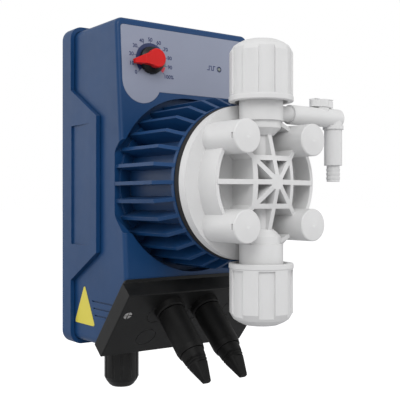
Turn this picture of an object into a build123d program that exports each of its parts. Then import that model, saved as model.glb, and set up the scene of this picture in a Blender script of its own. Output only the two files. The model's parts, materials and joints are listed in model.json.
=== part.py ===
from build123d import *
import os
from math import cos, hypot, radians, sin, sqrt

# Solenoid-driven diaphragm metering pump with a wall bracket. Millimetres, +X right, +Y into the
# wall, +Z up. The origin lies in the wall plane, at the centre of the bracket's four screw holes
# and level with the pump head's axis. A depth is a distance in front of the wall, along -Y.

# ---- fits ------------------------------------------------------------------------------------
running_gap = 0.08          # radial, a piece that turns or slides in its bore
seat_gap = 0.1              # between fixed pieces that plug together
free_gap = 0.3              # between pieces that pass each other

# ---- casing ----------------------------------------------------------------------------------
casing_width = 108.0
casing_height = 206.4
casing_corner = 8.2
casing_wall = 2.8
casing_back_gap = 3.0       # bracket plate between the wall and the casing
casing_back_round = 1.5
rim_length = 13.1           # back of the casing to the rear shell's rim
tongue_length = 34.0        # side tongues, forward of the rim
tongue_root_half = 61.4
tongue_tip_half = 42.0
grip_half_height = 38.0     # finger recesses in the tongues
grip_start = 14.0           # forward of the casing's back
grip_length = 25.0
grip_depth = 1.3
nest_gap = 0.3              # front shell inside the rear shell's rim
nest_overlap = 6.0
seal_thickness = 1.5
front_wall = 2.5
front_depth = 76.0          # leaning front face, at the head axis
front_lean = 4.08           # degrees
front_edge_round = 2.5
groove_width = 0.9          # short grooves low on the front shell's sides
groove_cut = 0.8
groove_pitch = 4.3
groove_drop = 72.8
groove_start = 39.5
groove_count = 3

# ---- wall bracket ----------------------------------------------------------------------------
foot_half_width = 51.0
foot_bottom = 89.0
foot_top = 42.0
foot_taper = 8.0
rail_half_width = 28.0      # dovetail rail, at its wide front
rail_flare = 3.0
rail_height = 4.0
rail_top = 76.0
wall_screw_span_x = 40.0
wall_screw_span_z = 128.0
wall_hole_r = 2.75
wall_head_r = 5.5
wall_head_depth = 3.5

# ---- casing screws ---------------------------------------------------------------------------
case_screw_x = 44.0
case_screw_z = 93.4
case_screw_r = 2.0
case_head_r = 3.6
case_head_height = 2.4
case_boss_r = 4.6
case_screw_length = 20.0

# ---- finned dome -----------------------------------------------------------------------------
recess_depth = 67.3         # floor of the round recess
recess_floor_r = 54.0
channel_half = 19.5         # side channels at the recess, half height of their flat floor
channel_mouth = 29.3        # half height at the front face
channel_floor_round = 7.0
floor_step = 1.4            # raised ring on the recess floor, round the dome
floor_step_r = 47.8
dome_length = 53.6          # recess floor to the dome's front
dome_core_r = 41.0
dome_wall = 3.0
dome_end_wall = 3.5
dome_rim_r = 45.0
dome_rim_thickness = 2.5
fin_r = 50.7
fin_straight = 40.6         # recess floor to the fins' shoulder
fin_thickness = 2.2
fin_count = 30

# ---- control panel ---------------------------------------------------------------------------
panel_thickness = 0.5
panel_half_width = 48.0
panel_top = 96.0
panel_bottom = 56.6
panel_lobe_x = -34.3
panel_lobe_y = 62.6
panel_round = 2.0
knob_x = -27.3
knob_height = 75.7          # above the head axis, along the leaning face
knob_r = 8.5
knob_skirt = 2.6
knob_neck_r = 5.9
knob_tall = 8.2
pointer_r = 5.8
pointer_reach = 13.6
pointer_thickness = 3.4
pointer_nose_start = 8.2    # where the nose begins to slope down to the scale
pointer_tip_low = 1.4
pointer_tip_high = 4.0
knob_flutes = 14
knob_flute_r = 0.7
pointer_rest_angle = 188.5  # degrees from +X, the 15 percent mark
shaft_r = 3.0
pot_size = 12.0
pot_height = 6.5
led_x = 25.2
led_height = 75.4
led_r = 1.4
led_drop = 7.0
led_step = 11.5
board_width = 72.0
board_height = 36.0
board_thickness = 1.6
board_standoff = 12.0
board_post_r = 3.2
board_screw_r = 1.25
board_inset = 4.0

# ---- terminal compartment --------------------------------------------------------------------
seat_angle = 40.0           # degrees that the slanted seat faces down
seat_depth = 65.7           # seat centre
seat_drop = 77.4
cover_high = 25.2           # cover's ends above and below the seat's centre
cover_low = 27.2
cover_height = 10.4
cover_wall = 2.2
lip_half_width = 53.0       # lip of the cover that laps the front face
lip_top = 56.4
lip_bottom = 60.2
lip_thickness = 1.5
lip_corner = 3.4
cover_round = 0.8
cover_screw_x = 48.6
cover_screw_y = 8.3
cover_screw_r = 1.5
cover_head_r = 2.75
cover_head_height = 2.0
cover_screw_length = 16.0
cover_boss_r = 3.4
knockout_r = 6.9
knockout_line = 0.5
knockout_pitch = 28.4
knockout_x = 0.6
knockout_y = 7.0
knockout_row = 20.0
block_length = 46.0
block_width = 9.0
block_height = 6.5
block_ways = 6
wire_window = 5.0

# ---- signal plugs ----------------------------------------------------------------------------
plug_pitch = 26.5
plug_x = -8.2
plug_y = 12.0
plug_tilt = 4.25            # degrees that the plugs point down from the cover's normal
socket_collar_r = 9.2
socket_sink = 2.0
socket_height = 4.0
socket_nose_r = 7.0
socket_nose = 16.0
socket_bore_r = 5.2
sleeve_r = 8.4
sleeve_length = 29.5
sleeve_taper = 3.0
tail_step_r = 7.2
tail_step = 4.6
tail_neck_r = 5.7
tail_neck = 3.6
tail_length = 11.6
tail_tip_width = 5.0
tail_tip_height = 3.0
tail_spigot = 8.0

# ---- cable gland -----------------------------------------------------------------------------
gland_x = -28.5
gland_depth = 37.5
gland_r = 11.0
gland_flange = 3.5
gland_thread_r = 8.0
gland_thread = 13.0
gland_nose_r = 9.1
gland_nose = 8.5
gland_bore_r = 5.6
gland_locknut_length = 4.5
gland_pad = 2.0             # raised seat of the locknut, inside the floor
gland_pad_r = 11.6
gland_nut_length = 18.4
gland_dome = 6.0
gland_dome_r = 6.4
gland_entry_r = 5.0
gland_entry_wall = 4.0
gland_claw_length = 6.0
gland_claw_wall = 2.2
gland_seal_length = 6.0
gland_flutes = 12
gland_flute_r = 1.0

# ---- pump head -------------------------------------------------------------------------------
ring_r = 44.5
ring_thickness = 4.0
flange_r = 44.3
flange_thickness = 6.0
boss_r = 35.5
boss_length = 15.5          # forward of the flange
boss_wall = 2.2
head_floor = 9.6            # back of the head to the floor of its front recess
post_half = 23.8
post_r = 9.1
post_length = 32.6
rib_thickness = 2.8
rib_half = 13.2
rib_crown = 31.0            # back of the head to the ribs' centre
hub_r = 4.2
head_screw_r = 2.5
head_screw_head_r = 4.2
head_screw_head = 5.0
head_screw_seat = 11.1
head_screw_grip = 11.0      # length in the dome's boss
head_boss_r = 6.0
cap_thickness = 1.3
cap_crown = 0.7
cap_stem = 4.0
cap_slot = 1.2
diaphragm_r = 29.0
diaphragm_thickness = 2.0
chamber_r = 24.0
chamber_depth = 3.4
diaphragm_hub_r = 9.0
diaphragm_hub = 3.6

# ---- valve lines -----------------------------------------------------------------------------
valve_depth = 141.8         # depth of the vertical line through both valves
port_r = 2.5                # vertical channels of the head
inlet_r = 3.0               # from the pumping chamber to those channels
column_r = 5.6
neck_r = 12.3
neck_start = 34.0           # above or below the head axis
neck_end = 46.0
collar_r = 11.0
collar_start = 26.0
collar_round = 4.0
valve_bore_r = 8.0
valve_bore_end = 28.0
valve_ring = 3.0            # seat or cage ring at the inner end
ball_r = 4.0
ball_lift = 1.5
ball_gap = 0.15
ball_play = 0.7
valve_seat_r = 3.2
valve_stop_r = 2.8
valve_slot = 1.6
valve_flange = 2.0
spigot_r = 14.8
spigot_length = 10.0
seal_r = 0.85
seal_room = 0.15
nozzle_flange_r = 10.4
nozzle_flange = 2.0
nozzle_r = 3.9
nozzle_barb = 0.5
nozzle_bore_r = 2.8
hose_r = 6.25
clamp_ring_r = 10.6
clamp_hose_gap = 0.2        # radial, clamp ring over the hose
clamp_ring_length = 7.0
nut_r = 17.75
nut_skirt_r = 18.1
nut_skirt = 3.0
nut_start = 44.8
nut_shoulder = 72.1
nut_end = 78.9
nut_top_r = 9.8
nut_pads = 6
nut_pad_depth = 1.2
nut_pad_angle = 30.0
nut_thread = 14.8           # length of the nut's wide bore
nut_inner_r = 11.0
nut_end_wall = 8.8

# ---- bleed valve -----------------------------------------------------------------------------
bleed_height = 39.3
bleed_collar_r = 4.5
bleed_collar_end = 21.0
bleed_r = 5.6
bleed_end = 62.4
bleed_drop_x = 56.9
bleed_tube_r = 5.35
bleed_tube_end = 11.0
bleed_ring_r = 6.2
bleed_ring = 2.4
bleed_nipple_r = 3.85
bleed_nipple_end = 1.3
bleed_bore_r = 1.5
bleed_spot = 2.6            # how deep the valve screws into the neck
bleed_knob_x = 47.0
bleed_stem_r = 3.0
bleed_stem = 5.0
wing_length = 17.0
wing_width = 5.4
wing_height = 4.6

# ---- solenoid --------------------------------------------------------------------------------
stroke = 1.25
stroke_margin = 0.15
yoke_length = 49.0
yoke_wall = 3.0
yoke_front = 4.0
yoke_plate = 4.0
bobbin_bore_r = 13.2
bobbin_wall = 1.3
bobbin_flange = 1.5
pole_length = 17.0
plunger_length = 22.6
rod_r = 3.0
rod_socket = 10.0
spring_r = 5.0              # mean radius
spring_wire = 1.0
spring_turns = 4
spring_pocket = 9.0
spring_pocket_r = 6.6
bush_r = 6.0
bush_flange_r = 9.0
bush_flange = 1.5
bush_length = 10.0
stop_r = 8.0
stop_gap = 0.2

# ---- places worked out from the sizes above --------------------------------------------------
casing_back = casing_back_gap
rim_depth = casing_back + rim_length
tongue_depth = rim_depth + tongue_length
casing_half_x = casing_width / 2
casing_half_z = casing_height / 2
inset = casing_wall + nest_gap
front_half_x = casing_half_x - inset
front_half_z = casing_half_z - inset
front_corner = casing_corner - inset
front_start = rim_depth - nest_overlap
rail_front = casing_back + rail_height
lean = radians(front_lean)
dome_front = recess_depth + dome_length
dome_bore_r = dome_core_r - dome_wall
dome_bore_end = dome_front - dome_end_wall
ring_front = dome_front + ring_thickness
flange_front = ring_front + flange_thickness
boss_front = flange_front + boss_length
floor_depth = ring_front + head_floor
post_front = ring_front + post_length
screw_seat_depth = ring_front + head_screw_seat
screw_tip_depth = dome_front - head_screw_grip
boss_back = screw_tip_depth - 1.0
yoke_end = boss_back
yoke_start = yoke_end - yoke_length
yoke_r = dome_bore_r - free_gap
pole_start = yoke_end - pole_length
plunger_front = pole_start - stroke - stroke_margin
plunger_back = plunger_front - plunger_length
diaphragm_front = ring_front + diaphragm_thickness
hub_back = ring_front - diaphragm_hub + 0.2
hub_front = ring_front + diaphragm_thickness + 1.0
rod_end = ring_front + 0.2
seat_ball_drop = sqrt(ball_r ** 2 - valve_seat_r ** 2)
stop_ball_drop = sqrt(ball_r ** 2 - valve_stop_r ** 2)
ring_top = valve_bore_end + valve_ring
ball_room_r = ball_r + ball_play
flange_top = neck_end + valve_flange
spigot_top = flange_top + spigot_length
nut_bore_end = nut_end - nut_end_wall
clamp_start = nut_bore_end - free_gap - clamp_ring_length
floor_z = -front_half_z
gland_seat = floor_z
gland_nut_start = gland_seat - gland_flange - 0.5
gland_nut_end = gland_nut_start - gland_nut_length

# ---- frames ----------------------------------------------------------------------------------
HEAD = Plane(origin=(0, 0, 0), x_dir=(1, 0, 0), z_dir=(0, -1, 0))
FACE = Plane(origin=(0, -front_depth, 0), x_dir=(1, 0, 0), z_dir=(0, -cos(lean), sin(lean)))
SEAT = Plane(
    origin=(0, -seat_depth, -seat_drop),
    x_dir=(1, 0, 0),
    z_dir=(0, -cos(radians(seat_angle)), -sin(radians(seat_angle))),
)
UPPER = Plane(origin=(0, -valve_depth, 0), x_dir=(1, 0, 0), z_dir=(0, 0, 1))
LOWER = Plane(origin=(0, -valve_depth, 0), x_dir=(1, 0, 0), z_dir=(0, 0, -1))
GLAND = Plane(origin=(gland_x, -gland_depth, 0), x_dir=(1, 0, 0), z_dir=(0, 0, 1))
ACROSS = Plane(origin=(0, -valve_depth, bleed_height), x_dir=(0, 1, 0), z_dir=(1, 0, 0))


# ---- small builders --------------------------------------------------------------------------
def turned(points):
    """Solid of revolution about local Z from a closed (radius, height) outline."""
    return revolve(Plane.XZ * make_face(Polyline(*points, close=True)), Axis.Z)


def tube(inner, outer, start, end):
    return turned([(inner, start), (outer, start), (outer, end), (inner, end)])


def rod(radius, start, end):
    low = min(start, end)
    place = (Align.CENTER, Align.CENTER, Align.MIN)
    return Pos(0, 0, low) * Cylinder(radius, abs(end - start), align=place)


def block(x0, x1, y0, y1, z0, z1):
    box = Box(abs(x1 - x0), abs(y1 - y0), abs(z1 - z0))
    return Pos((x0 + x1) / 2, (y0 + y1) / 2, (z0 + z1) / 2) * box


def slab(half_x, half_y, corner, start, end):
    """Plate with rounded corners, from start to end along local Z."""
    face = RectangleRounded(2 * half_x, 2 * half_y, corner)
    return Pos(0, 0, start) * extrude(face, end - start)


def side_prism(points, half_x):
    """Prism across the pump, from (depth, height) points."""
    face = Plane.YZ * make_face(Polyline(*[(-d, z) for d, z in points], close=True))
    return extrude(face, half_x, both=True)


def corners(dx, dy):
    return [Pos(sx * dx, sy * dy, 0) for sx in (-1, 1) for sy in (-1, 1)]


def hexagon(across_flats, start, end):
    face = RegularPolygon(across_flats / 2, 6, major_radius=False)
    return Pos(0, 0, start) * extrude(face, end - start)


# ---- wall bracket and casing -----------------------------------------------------------------
def rail_outline(grow, top, bottom):
    """Dovetail section in (x, depth), swept up the wall."""
    wide = rail_half_width + grow
    narrow = wide - rail_flare
    outline = [(-narrow, 0), (narrow, 0), (wide, -rail_front - grow), (-wide, -rail_front - grow)]
    face = Pos(0, 0, bottom) * make_face(Polyline(*outline, close=True))
    return extrude(face, top - bottom)


def wall_bracket():
    foot_outline = [
        (0, -foot_bottom),
        (casing_back, -foot_bottom),
        (casing_back, -foot_top),
        (0, -foot_top - foot_taper),
    ]
    bracket = side_prism(foot_outline, foot_half_width) + rail_outline(0, rail_top, -foot_bottom)
    hole = HEAD * rod(wall_hole_r, -1, rail_front + 1)
    head = HEAD * rod(wall_head_r, rail_front - wall_head_depth, rail_front + 1)
    for sx in (-1, 1):
        for sz in (-1, 1):
            place = Pos(sx * wall_screw_span_x / 2, 0, sz * wall_screw_span_z / 2)
            bracket -= place * hole
            bracket -= place * head
    return bracket


def case_screw_places():
    return [HEAD * place for place in corners(case_screw_x, case_screw_z)]


def rear_shell():
    outer = slab(casing_half_x, casing_half_z, casing_corner, casing_back, tongue_depth)
    outer = chamfer(outer.edges().group_by(Axis.Z)[0], casing_back_round)
    bore = slab(
        casing_half_x - casing_wall,
        casing_half_z - casing_wall,
        casing_corner - casing_wall,
        front_start - seal_thickness,
        tongue_depth + 1,
    )
    room = slab(
        front_half_x - front_wall,
        front_half_z - front_wall,
        front_corner - front_wall,
        casing_back + casing_wall,
        tongue_depth,
    )
    shell = HEAD * (outer - bore - room)
    tongue = [
        (rim_depth - 1, -tongue_root_half - 1),
        (rim_depth, -tongue_root_half),
        (tongue_depth, -tongue_tip_half),
        (tongue_depth, tongue_tip_half),
        (rim_depth, tongue_root_half),
        (rim_depth - 1, tongue_root_half + 1),
    ]
    base = block(-casing_width, casing_width, -rim_depth, 0, -casing_height, casing_height)
    shell = shell & (base + side_prism(tongue, casing_width))
    rail_room = rail_outline(casing_wall + free_gap, rail_top + casing_wall, -casing_half_z)
    floor_back = block(-casing_width, casing_width, -tongue_depth, -casing_back, -casing_height,
                       casing_height)
    inside = HEAD * slab(casing_half_x - 1, casing_half_z - 1, casing_corner - 1, 0, tongue_depth)
    track = bore - slab(
        front_half_x - front_wall - free_gap,
        front_half_z - front_wall - free_gap,
        front_corner - front_wall,
        0,
        tongue_depth + 2,
    )
    shell += (rail_room & floor_back & inside) - HEAD * track
    shell -= rail_outline(free_gap, rail_top, -casing_height)
    for place in case_screw_places():
        shell += place * rod(case_boss_r, casing_back + casing_wall, front_start - seal_thickness)
    for place in case_screw_places():
        shell -= place * rod(case_screw_r + seat_gap, 0, rim_depth)
        shell -= place * rod(case_head_r + free_gap, 0, casing_back + case_head_height + free_gap)
    start = casing_back + grip_start
    for side in (-1, 1):
        x_face = side * casing_half_x
        wedge = [
            (x_face - side * grip_depth, -start),
            (x_face + side, -start),
            (x_face + side, -start - grip_length),
            (x_face, -start - grip_length),
        ]
        face = Pos(0, 0, -grip_half_height) * make_face(Polyline(*wedge, close=True))
        shell -= extrude(face, 2 * grip_half_height, dir=(0, 0, 1))
    return shell


def housing_seal():
    start = front_start - seal_thickness
    outer = slab(front_half_x, front_half_z, front_corner, start, front_start)
    inner = slab(
        front_half_x - front_wall,
        front_half_z - front_wall,
        front_corner - front_wall,
        start - 1,
        front_start + 1,
    )
    return HEAD * (outer - inner)


def housing_screws():
    """Four screws from the back, all in one group."""
    start = casing_back
    screw = rod(case_head_r, start, start + case_head_height)
    screw += rod(case_screw_r, start, start + case_screw_length)
    return Compound(children=[place * screw for place in case_screw_places()])


def leaning_half(offset):
    """Everything behind the leaning front face, less an offset."""
    reach = casing_height
    return FACE * block(-reach, reach, -reach, reach, -reach, -offset)


def behind_seat(offset):
    """Everything inside of the slanted terminal seat, less an offset."""
    reach = casing_height
    return SEAT * block(-reach, reach, -reach, reach, -reach, -offset)


def recess(grow, start):
    """Round recess about the dome and the level channels from it through both sides."""
    room = HEAD * rod(recess_floor_r + grow, start, front_depth + 20)
    half = channel_half + grow / 2
    mouth = channel_mouth + grow
    top = front_depth + 1
    points = [(start, -half), (start, half), (top, mouth), (top + 20, mouth), (top + 20, -mouth),
              (top, -mouth)]
    channel = side_prism(points, casing_width)
    floor_edges = channel.edges().filter_by(Axis.X).group_by(Axis.Y)[-1]
    return room + fillet(floor_edges, channel_floor_round)


def dome():
    """Finned dome round the solenoid, solid apart from its bore."""
    body = rod(dome_core_r, recess_depth - front_wall, dome_front)
    body += rod(dome_rim_r, dome_front - dome_rim_thickness, dome_front)
    body += rod(floor_step_r, recess_depth - front_wall, recess_depth + floor_step)
    root = dome_bore_r + dome_wall / 2
    fin_outline = [
        (root, recess_depth - front_wall / 2),
        (fin_r, recess_depth - front_wall / 2),
        (fin_r, recess_depth + fin_straight),
        (dome_rim_r, dome_front),
        (root, dome_front),
    ]
    fin = extrude(Plane.XZ * make_face(Polyline(*fin_outline, close=True)), fin_thickness / 2,
                  both=True)
    body += [Rot(0, 0, i * 360 / fin_count) * fin for i in range(fin_count)]
    return HEAD * body


def front_shell():
    outer = HEAD * slab(front_half_x, front_half_z, front_corner, front_start, front_depth + 20)
    outer = outer & leaning_half(0)
    front_edges = outer.faces().sort_by(Axis.Y)[0].edges()
    outer = fillet(front_edges, front_edge_round)
    outer = outer & behind_seat(0)
    cavity = HEAD * slab(
        front_half_x - front_wall,
        front_half_z - front_wall,
        front_corner - front_wall,
        front_start - 1,
        front_depth + 20,
    )
    cavity = cavity & leaning_half(front_wall) & behind_seat(front_wall)
    cavity -= recess(front_wall, recess_depth - front_wall)
    posts = board_posts() + case_posts() + cover_posts()
    shell = outer - cavity + [post & outer for post in posts]
    shell -= recess(0, recess_depth)
    pad = GLAND * rod(gland_pad_r, floor_z + front_wall / 2, floor_z + front_wall + gland_pad)
    shell += pad & outer
    shell += dome()
    shell -= HEAD * rod(dome_bore_r, recess_depth - 2 * front_wall, dome_bore_end)
    for place in corners(post_half, post_half):
        shell += HEAD * place * rod(head_boss_r, boss_back, dome_front - 1)
    for place in corners(post_half, post_half):
        shell -= HEAD * place * rod(head_screw_r + seat_gap, screw_tip_depth, dome_front + 1)
    shell -= HEAD * rod(bush_r + seat_gap, dome_bore_end - 1, dome_front + 1)
    return shell - panel_pocket() - front_holes() - side_grooves() - cover_holes()


def case_posts():
    post = rod(case_boss_r, front_start, front_depth)
    hole = rod(case_screw_r + seat_gap, 0, casing_back + case_screw_length + 1)
    return [place * (post - hole) for place in case_screw_places()]


def board_posts():
    start = -front_wall - board_standoff
    post = rod(board_post_r, start, -front_wall / 2) - rod(board_screw_r, start - 1, start + 7)
    return [FACE * place * post for place in board_corners()]


def cover_posts():
    end = cover_height - cover_head_height - cover_screw_length
    post = rod(cover_boss_r, end - 1, 0)
    return [SEAT * Pos(side * cover_screw_x, cover_screw_y, 0) * post for side in (-1, 1)]


def cover_holes():
    end = cover_height - cover_head_height - cover_screw_length
    hole = rod(cover_screw_r + seat_gap, end, 1)
    return [SEAT * Pos(side * cover_screw_x, cover_screw_y, 0) * hole for side in (-1, 1)]


def panel_face(gap):
    """Label outline on the leaning face: a band with a round lobe below the dial."""
    left = -panel_half_width - gap
    right = panel_half_width + gap
    low = panel_bottom - gap
    high = panel_top + gap
    lobe_r = panel_lobe_x - left
    join = panel_lobe_x + sqrt(lobe_r ** 2 - (panel_lobe_y - low) ** 2)
    lobe = ThreePointArc((left, panel_lobe_y), (panel_lobe_x, panel_lobe_y - lobe_r), (join, low))
    edges = Polyline((join, low), (right, low), (right, high), (left, high), (left, panel_lobe_y))
    face = make_face(lobe.edges() + edges.edges())
    square = [v for v in face.vertices() if v.X > 0 or v.Y > high - 1]
    return fillet(square, panel_round)


def panel_pocket():
    return FACE * extrude(panel_face(seat_gap), -panel_thickness)


def led_places():
    return [(led_x, led_height), (led_x + led_step, led_height - led_drop)]


def front_holes():
    """Holes through the leaning face for the knob's shaft and the lamps."""
    holes = FACE * Pos(knob_x, knob_height, 0) * rod(shaft_r + free_gap, -3 * front_wall, 1)
    for x, y in led_places():
        holes += FACE * Pos(x, y, 0) * rod(led_r + seat_gap, -3 * front_wall, 1)
    holes += SEAT * block(-wire_window, wire_window, -3 * wire_window, -2 * wire_window,
                          -2 * front_wall, 1)
    holes += GLAND * rod(gland_thread_r + seat_gap, floor_z - 1, floor_z + 2 * front_wall)
    return holes


def side_grooves():
    """Short level grooves that end at the terminal cover, on both sides."""
    cuts = []
    for side in (-1, 1):
        for i in range(groove_count):
            z = -groove_drop - i * groove_pitch
            x = side * front_half_x
            cut = block(x - groove_cut, x + groove_cut, -front_depth, -groove_start - i * 1.6,
                        z - groove_width / 2, z + groove_width / 2)
            cuts.append(cut & behind_seat(1.5))
    return cuts


# ---- control panel ---------------------------------------------------------------------------
def control_panel():
    panel = FACE * Pos(0, 0, -panel_thickness) * extrude(panel_face(0), panel_thickness)
    panel -= FACE * Pos(knob_x, knob_height, 0) * rod(shaft_r + free_gap, -2, 2)
    for x, y in led_places():
        panel -= FACE * Pos(x, y, 0) * rod(led_r + seat_gap, -2, 2)
    return panel


def at_knob(shape):
    return FACE * Pos(knob_x, knob_height, 0) * shape


def rate_knob():
    knob = turned([
        (shaft_r + running_gap, free_gap),
        (knob_r, free_gap),
        (knob_r - 0.4, knob_skirt),
        (knob_neck_r, knob_skirt + 1.2),
        (knob_neck_r - 0.4, knob_tall - pointer_thickness),
        (shaft_r + running_gap, knob_tall - pointer_thickness),
    ])
    flute = Pos(knob_r + knob_flute_r / 2, 0, 0) * rod(knob_flute_r, 0, knob_skirt + 1)
    knob -= [Rot(0, 0, i * 360 / knob_flutes) * flute for i in range(knob_flutes)]
    return at_knob(knob)


def knob_pointer():
    """Round cap with a nose that slopes down to the scale's 12 percent mark at rest."""
    low = knob_tall - pointer_thickness
    cap = rod(pointer_r, low, knob_tall)
    cap = chamfer(cap.faces().sort_by(Axis.Z)[-1].edges(), 0.5)
    plan = make_face(Polyline(
        (0, -pointer_r * 0.9),
        (pointer_reach, -1.3),
        (pointer_reach, 1.3),
        (0, pointer_r * 0.9),
        close=True,
    ))
    side = make_face(Polyline(
        (0, low),
        (knob_r + 0.6, low),
        (knob_r + 0.6, pointer_tip_low + 1),
        (pointer_reach, pointer_tip_low),
        (pointer_reach, pointer_tip_high),
        (pointer_nose_start, knob_tall),
        (0, knob_tall),
        close=True,
    ))
    nose = extrude(plan, knob_tall) & extrude(Plane.XZ * side, pointer_r, both=True)
    return at_knob(Rot(0, 0, pointer_rest_angle) * (cap + nose))


def rate_shaft():
    top = knob_tall - pointer_thickness
    bottom = -front_wall - board_standoff + board_thickness
    return at_knob(rod(shaft_r, bottom, top))


def potentiometer():
    low = -front_wall - board_standoff
    body = block(-pot_size / 2, pot_size / 2, -pot_size / 2, pot_size / 2, low, low + pot_height)
    body += rod(shaft_r + 1.5, low, low + pot_height + 2)
    return at_knob(body - rod(shaft_r + running_gap, low + board_thickness - 0.3, 0))


def board_corners():
    middle = (panel_top + panel_bottom) / 2
    places = corners(board_width / 2 - board_inset, board_height / 2 - board_inset)
    return [Pos(0, middle, 0) * place for place in places]


def circuit_board():
    """Driver board on the front shell's posts, with its larger components."""
    top = -front_wall - board_standoff
    middle = (panel_top + panel_bottom) / 2
    half_x = board_width / 2
    half_y = board_height / 2
    board = Pos(0, middle, 0) * block(-half_x, half_x, -half_y, half_y, top - board_thickness, top)
    low = top - board_thickness
    chip = block(-7, 7, -4, 4, low - 2.5, low)
    board += Pos(8, middle, 0) * chip
    board += Pos(-14, middle, 0) * rod(5, low - 12, low)
    board += Pos(28, middle, 0) * block(-8, 8, -7, 7, low - 9, low)
    for place in board_corners():
        board -= place * rod(board_screw_r + free_gap, low - 1, top + 1)
    return FACE * board


def board_screws():
    top = -front_wall - board_standoff
    low = top - board_thickness
    screw = rod(2 * board_screw_r, low - 1.6, low) + rod(board_screw_r - 0.05, low - 1, top + 5)
    return Compound(children=[FACE * place * screw for place in board_corners()])


def status_leds():
    low = -front_wall - board_standoff
    led = rod(led_r, low, 0.2)
    led = fillet(led.faces().sort_by(Axis.Z)[-1].edges(), 0.8)
    return Compound(children=[FACE * Pos(x, y, 0) * led for x, y in led_places()])


# ---- terminal compartment --------------------------------------------------------------------
def plug_places():
    return [plug_x - plug_pitch / 2, plug_x + plug_pitch / 2]


def terminal_cover():
    body = block(-casing_half_x, casing_half_x, -cover_low, cover_high, 0, cover_height)
    body = fillet(body.faces().sort_by(Axis.Z)[-1].edges(), cover_round)
    body += SEAT.to_local_coords(cover_lip())
    body -= block(-casing_half_x + cover_wall, casing_half_x - cover_wall, -cover_low + cover_wall,
                  cover_high - cover_wall, -1, cover_height - cover_wall)
    for side in (-1, 1):
        place = Pos(side * cover_screw_x, cover_screw_y, 0)
        body += place * rod(cover_boss_r, 0, cover_height - cover_wall / 2)
        body -= place * rod(cover_screw_r + seat_gap, -1, cover_height + 1)
        body -= place * rod(cover_head_r + seat_gap, cover_height - cover_head_height,
                            cover_height + 1)
    ring = tube(knockout_r - knockout_line, knockout_r, cover_height - 0.4, cover_height + 1)
    for i in (-1, 0, 1):
        body -= Pos(knockout_x + i * knockout_pitch, knockout_y, 0) * ring
    body -= Pos(knockout_x - knockout_pitch, knockout_y - knockout_row, 0) * ring
    body -= Pos(knockout_x + knockout_pitch, knockout_y - knockout_row, 0) * ring
    for x in plug_places():
        body -= Pos(x, plug_y, 0) * rod(socket_bore_r + seat_gap, 0, cover_height + 1)
    return SEAT * body


def cover_lip():
    """Upper edge of the cover, folded over the front face."""
    lip = block(-lip_half_width, lip_half_width, -lip_bottom, -lip_top, 0, lip_thickness)
    ends = lip.edges().filter_by(Axis.Z).group_by(Axis.Y)[-1]
    return FACE * fillet(ends, lip_corner)


def terminal_cover_screws():
    low = cover_height - cover_head_height
    head = rod(cover_head_r, low, cover_height - 0.2)
    head -= block(-0.4, 0.4, -4, 4, cover_height - 1.1, cover_height + 1)
    head -= block(-4, 4, -0.4, 0.4, cover_height - 1.1, cover_height + 1)
    screw = head + rod(cover_screw_r, low - cover_screw_length, low)
    return Compound(children=[
        SEAT * Pos(side * cover_screw_x, cover_screw_y, 0) * screw for side in (-1, 1)
    ])


def terminal_block():
    """Screw terminals on the seat, under the cover and below the sockets."""
    y = -cover_low + cover_wall + block_width / 2 + 1
    body = block(-block_length / 2, block_length / 2, -block_width / 2, block_width / 2, 0,
                 block_height)
    pitch = block_length / block_ways
    for i in range(block_ways):
        x = -block_length / 2 + pitch * (i + 0.5)
        body -= Pos(x, 0, 0) * rod(pitch * 0.3, block_height - 2, block_height + 1)
    return SEAT * Pos(0, y, 0) * body


def at_plug(x, shape):
    return SEAT * Pos(x, plug_y, cover_height) * Rot(plug_tilt, 0, 0) * shape


def signal_socket(x):
    """Round socket that leans from the cover, its foot cut to the cover's face."""
    socket = rod(socket_collar_r, -socket_sink, socket_height)
    socket = chamfer(socket.faces().sort_by(Axis.Z)[-1].edges(), 0.6)
    socket += rod(socket_nose_r, 0, socket_height + socket_nose)
    socket -= rod(socket_bore_r - 1, socket_height + 1, socket_height + socket_nose + 1)
    reach = casing_width
    outside = SEAT * block(-reach, reach, -reach, reach, cover_height, reach)
    stem = SEAT * Pos(x, plug_y, 0) * rod(socket_bore_r, cover_height - cover_wall - 1, cover_height + 1)
    return (at_plug(x, socket) & outside) + stem


def plug_sleeve(x):
    """Coupling sleeve that turns on the socket's nose."""
    start = socket_height + free_gap
    end = start + sleeve_length
    nose_end = socket_height + socket_nose
    neck = socket_bore_r - 1 - seat_gap
    outline = [
        (socket_nose_r + running_gap, start),
        (sleeve_r - 0.5, start),
        (sleeve_r, start + 0.5),
        (sleeve_r, end - sleeve_taper),
        (tail_step_r + 0.6, end),
        (neck + running_gap + seat_gap, end),
        (neck + running_gap + seat_gap, nose_end + free_gap),
        (socket_nose_r + running_gap, nose_end + free_gap),
    ]
    return at_plug(x, turned(outline))


def plug_tail(x):
    """Cable outlet of the plug, with a closed flattened tip, and its stem in the socket."""
    start = socket_height + sleeve_length + 2 * free_gap
    step_end = start + tail_step
    neck_end_ = step_end + tail_neck
    stem = socket_bore_r - 1 - seat_gap
    tail = turned([
        (0, start),
        (tail_step_r, start),
        (tail_step_r - 0.6, step_end),
        (tail_neck_r, step_end),
        (tail_neck_r, neck_end_),
        (0, neck_end_),
    ])
    root = Pos(0, 0, neck_end_) * RectangleRounded(2 * tail_neck_r - 0.8, 2 * tail_neck_r - 2, 3)
    tip = Pos(0, 0, neck_end_ + tail_length) * RectangleRounded(tail_tip_width, tail_tip_height, 1)
    tail += loft([root, tip], ruled=True)
    tail += rod(stem, socket_height + socket_nose - tail_spigot, start)
    return at_plug(x, tail)


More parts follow.
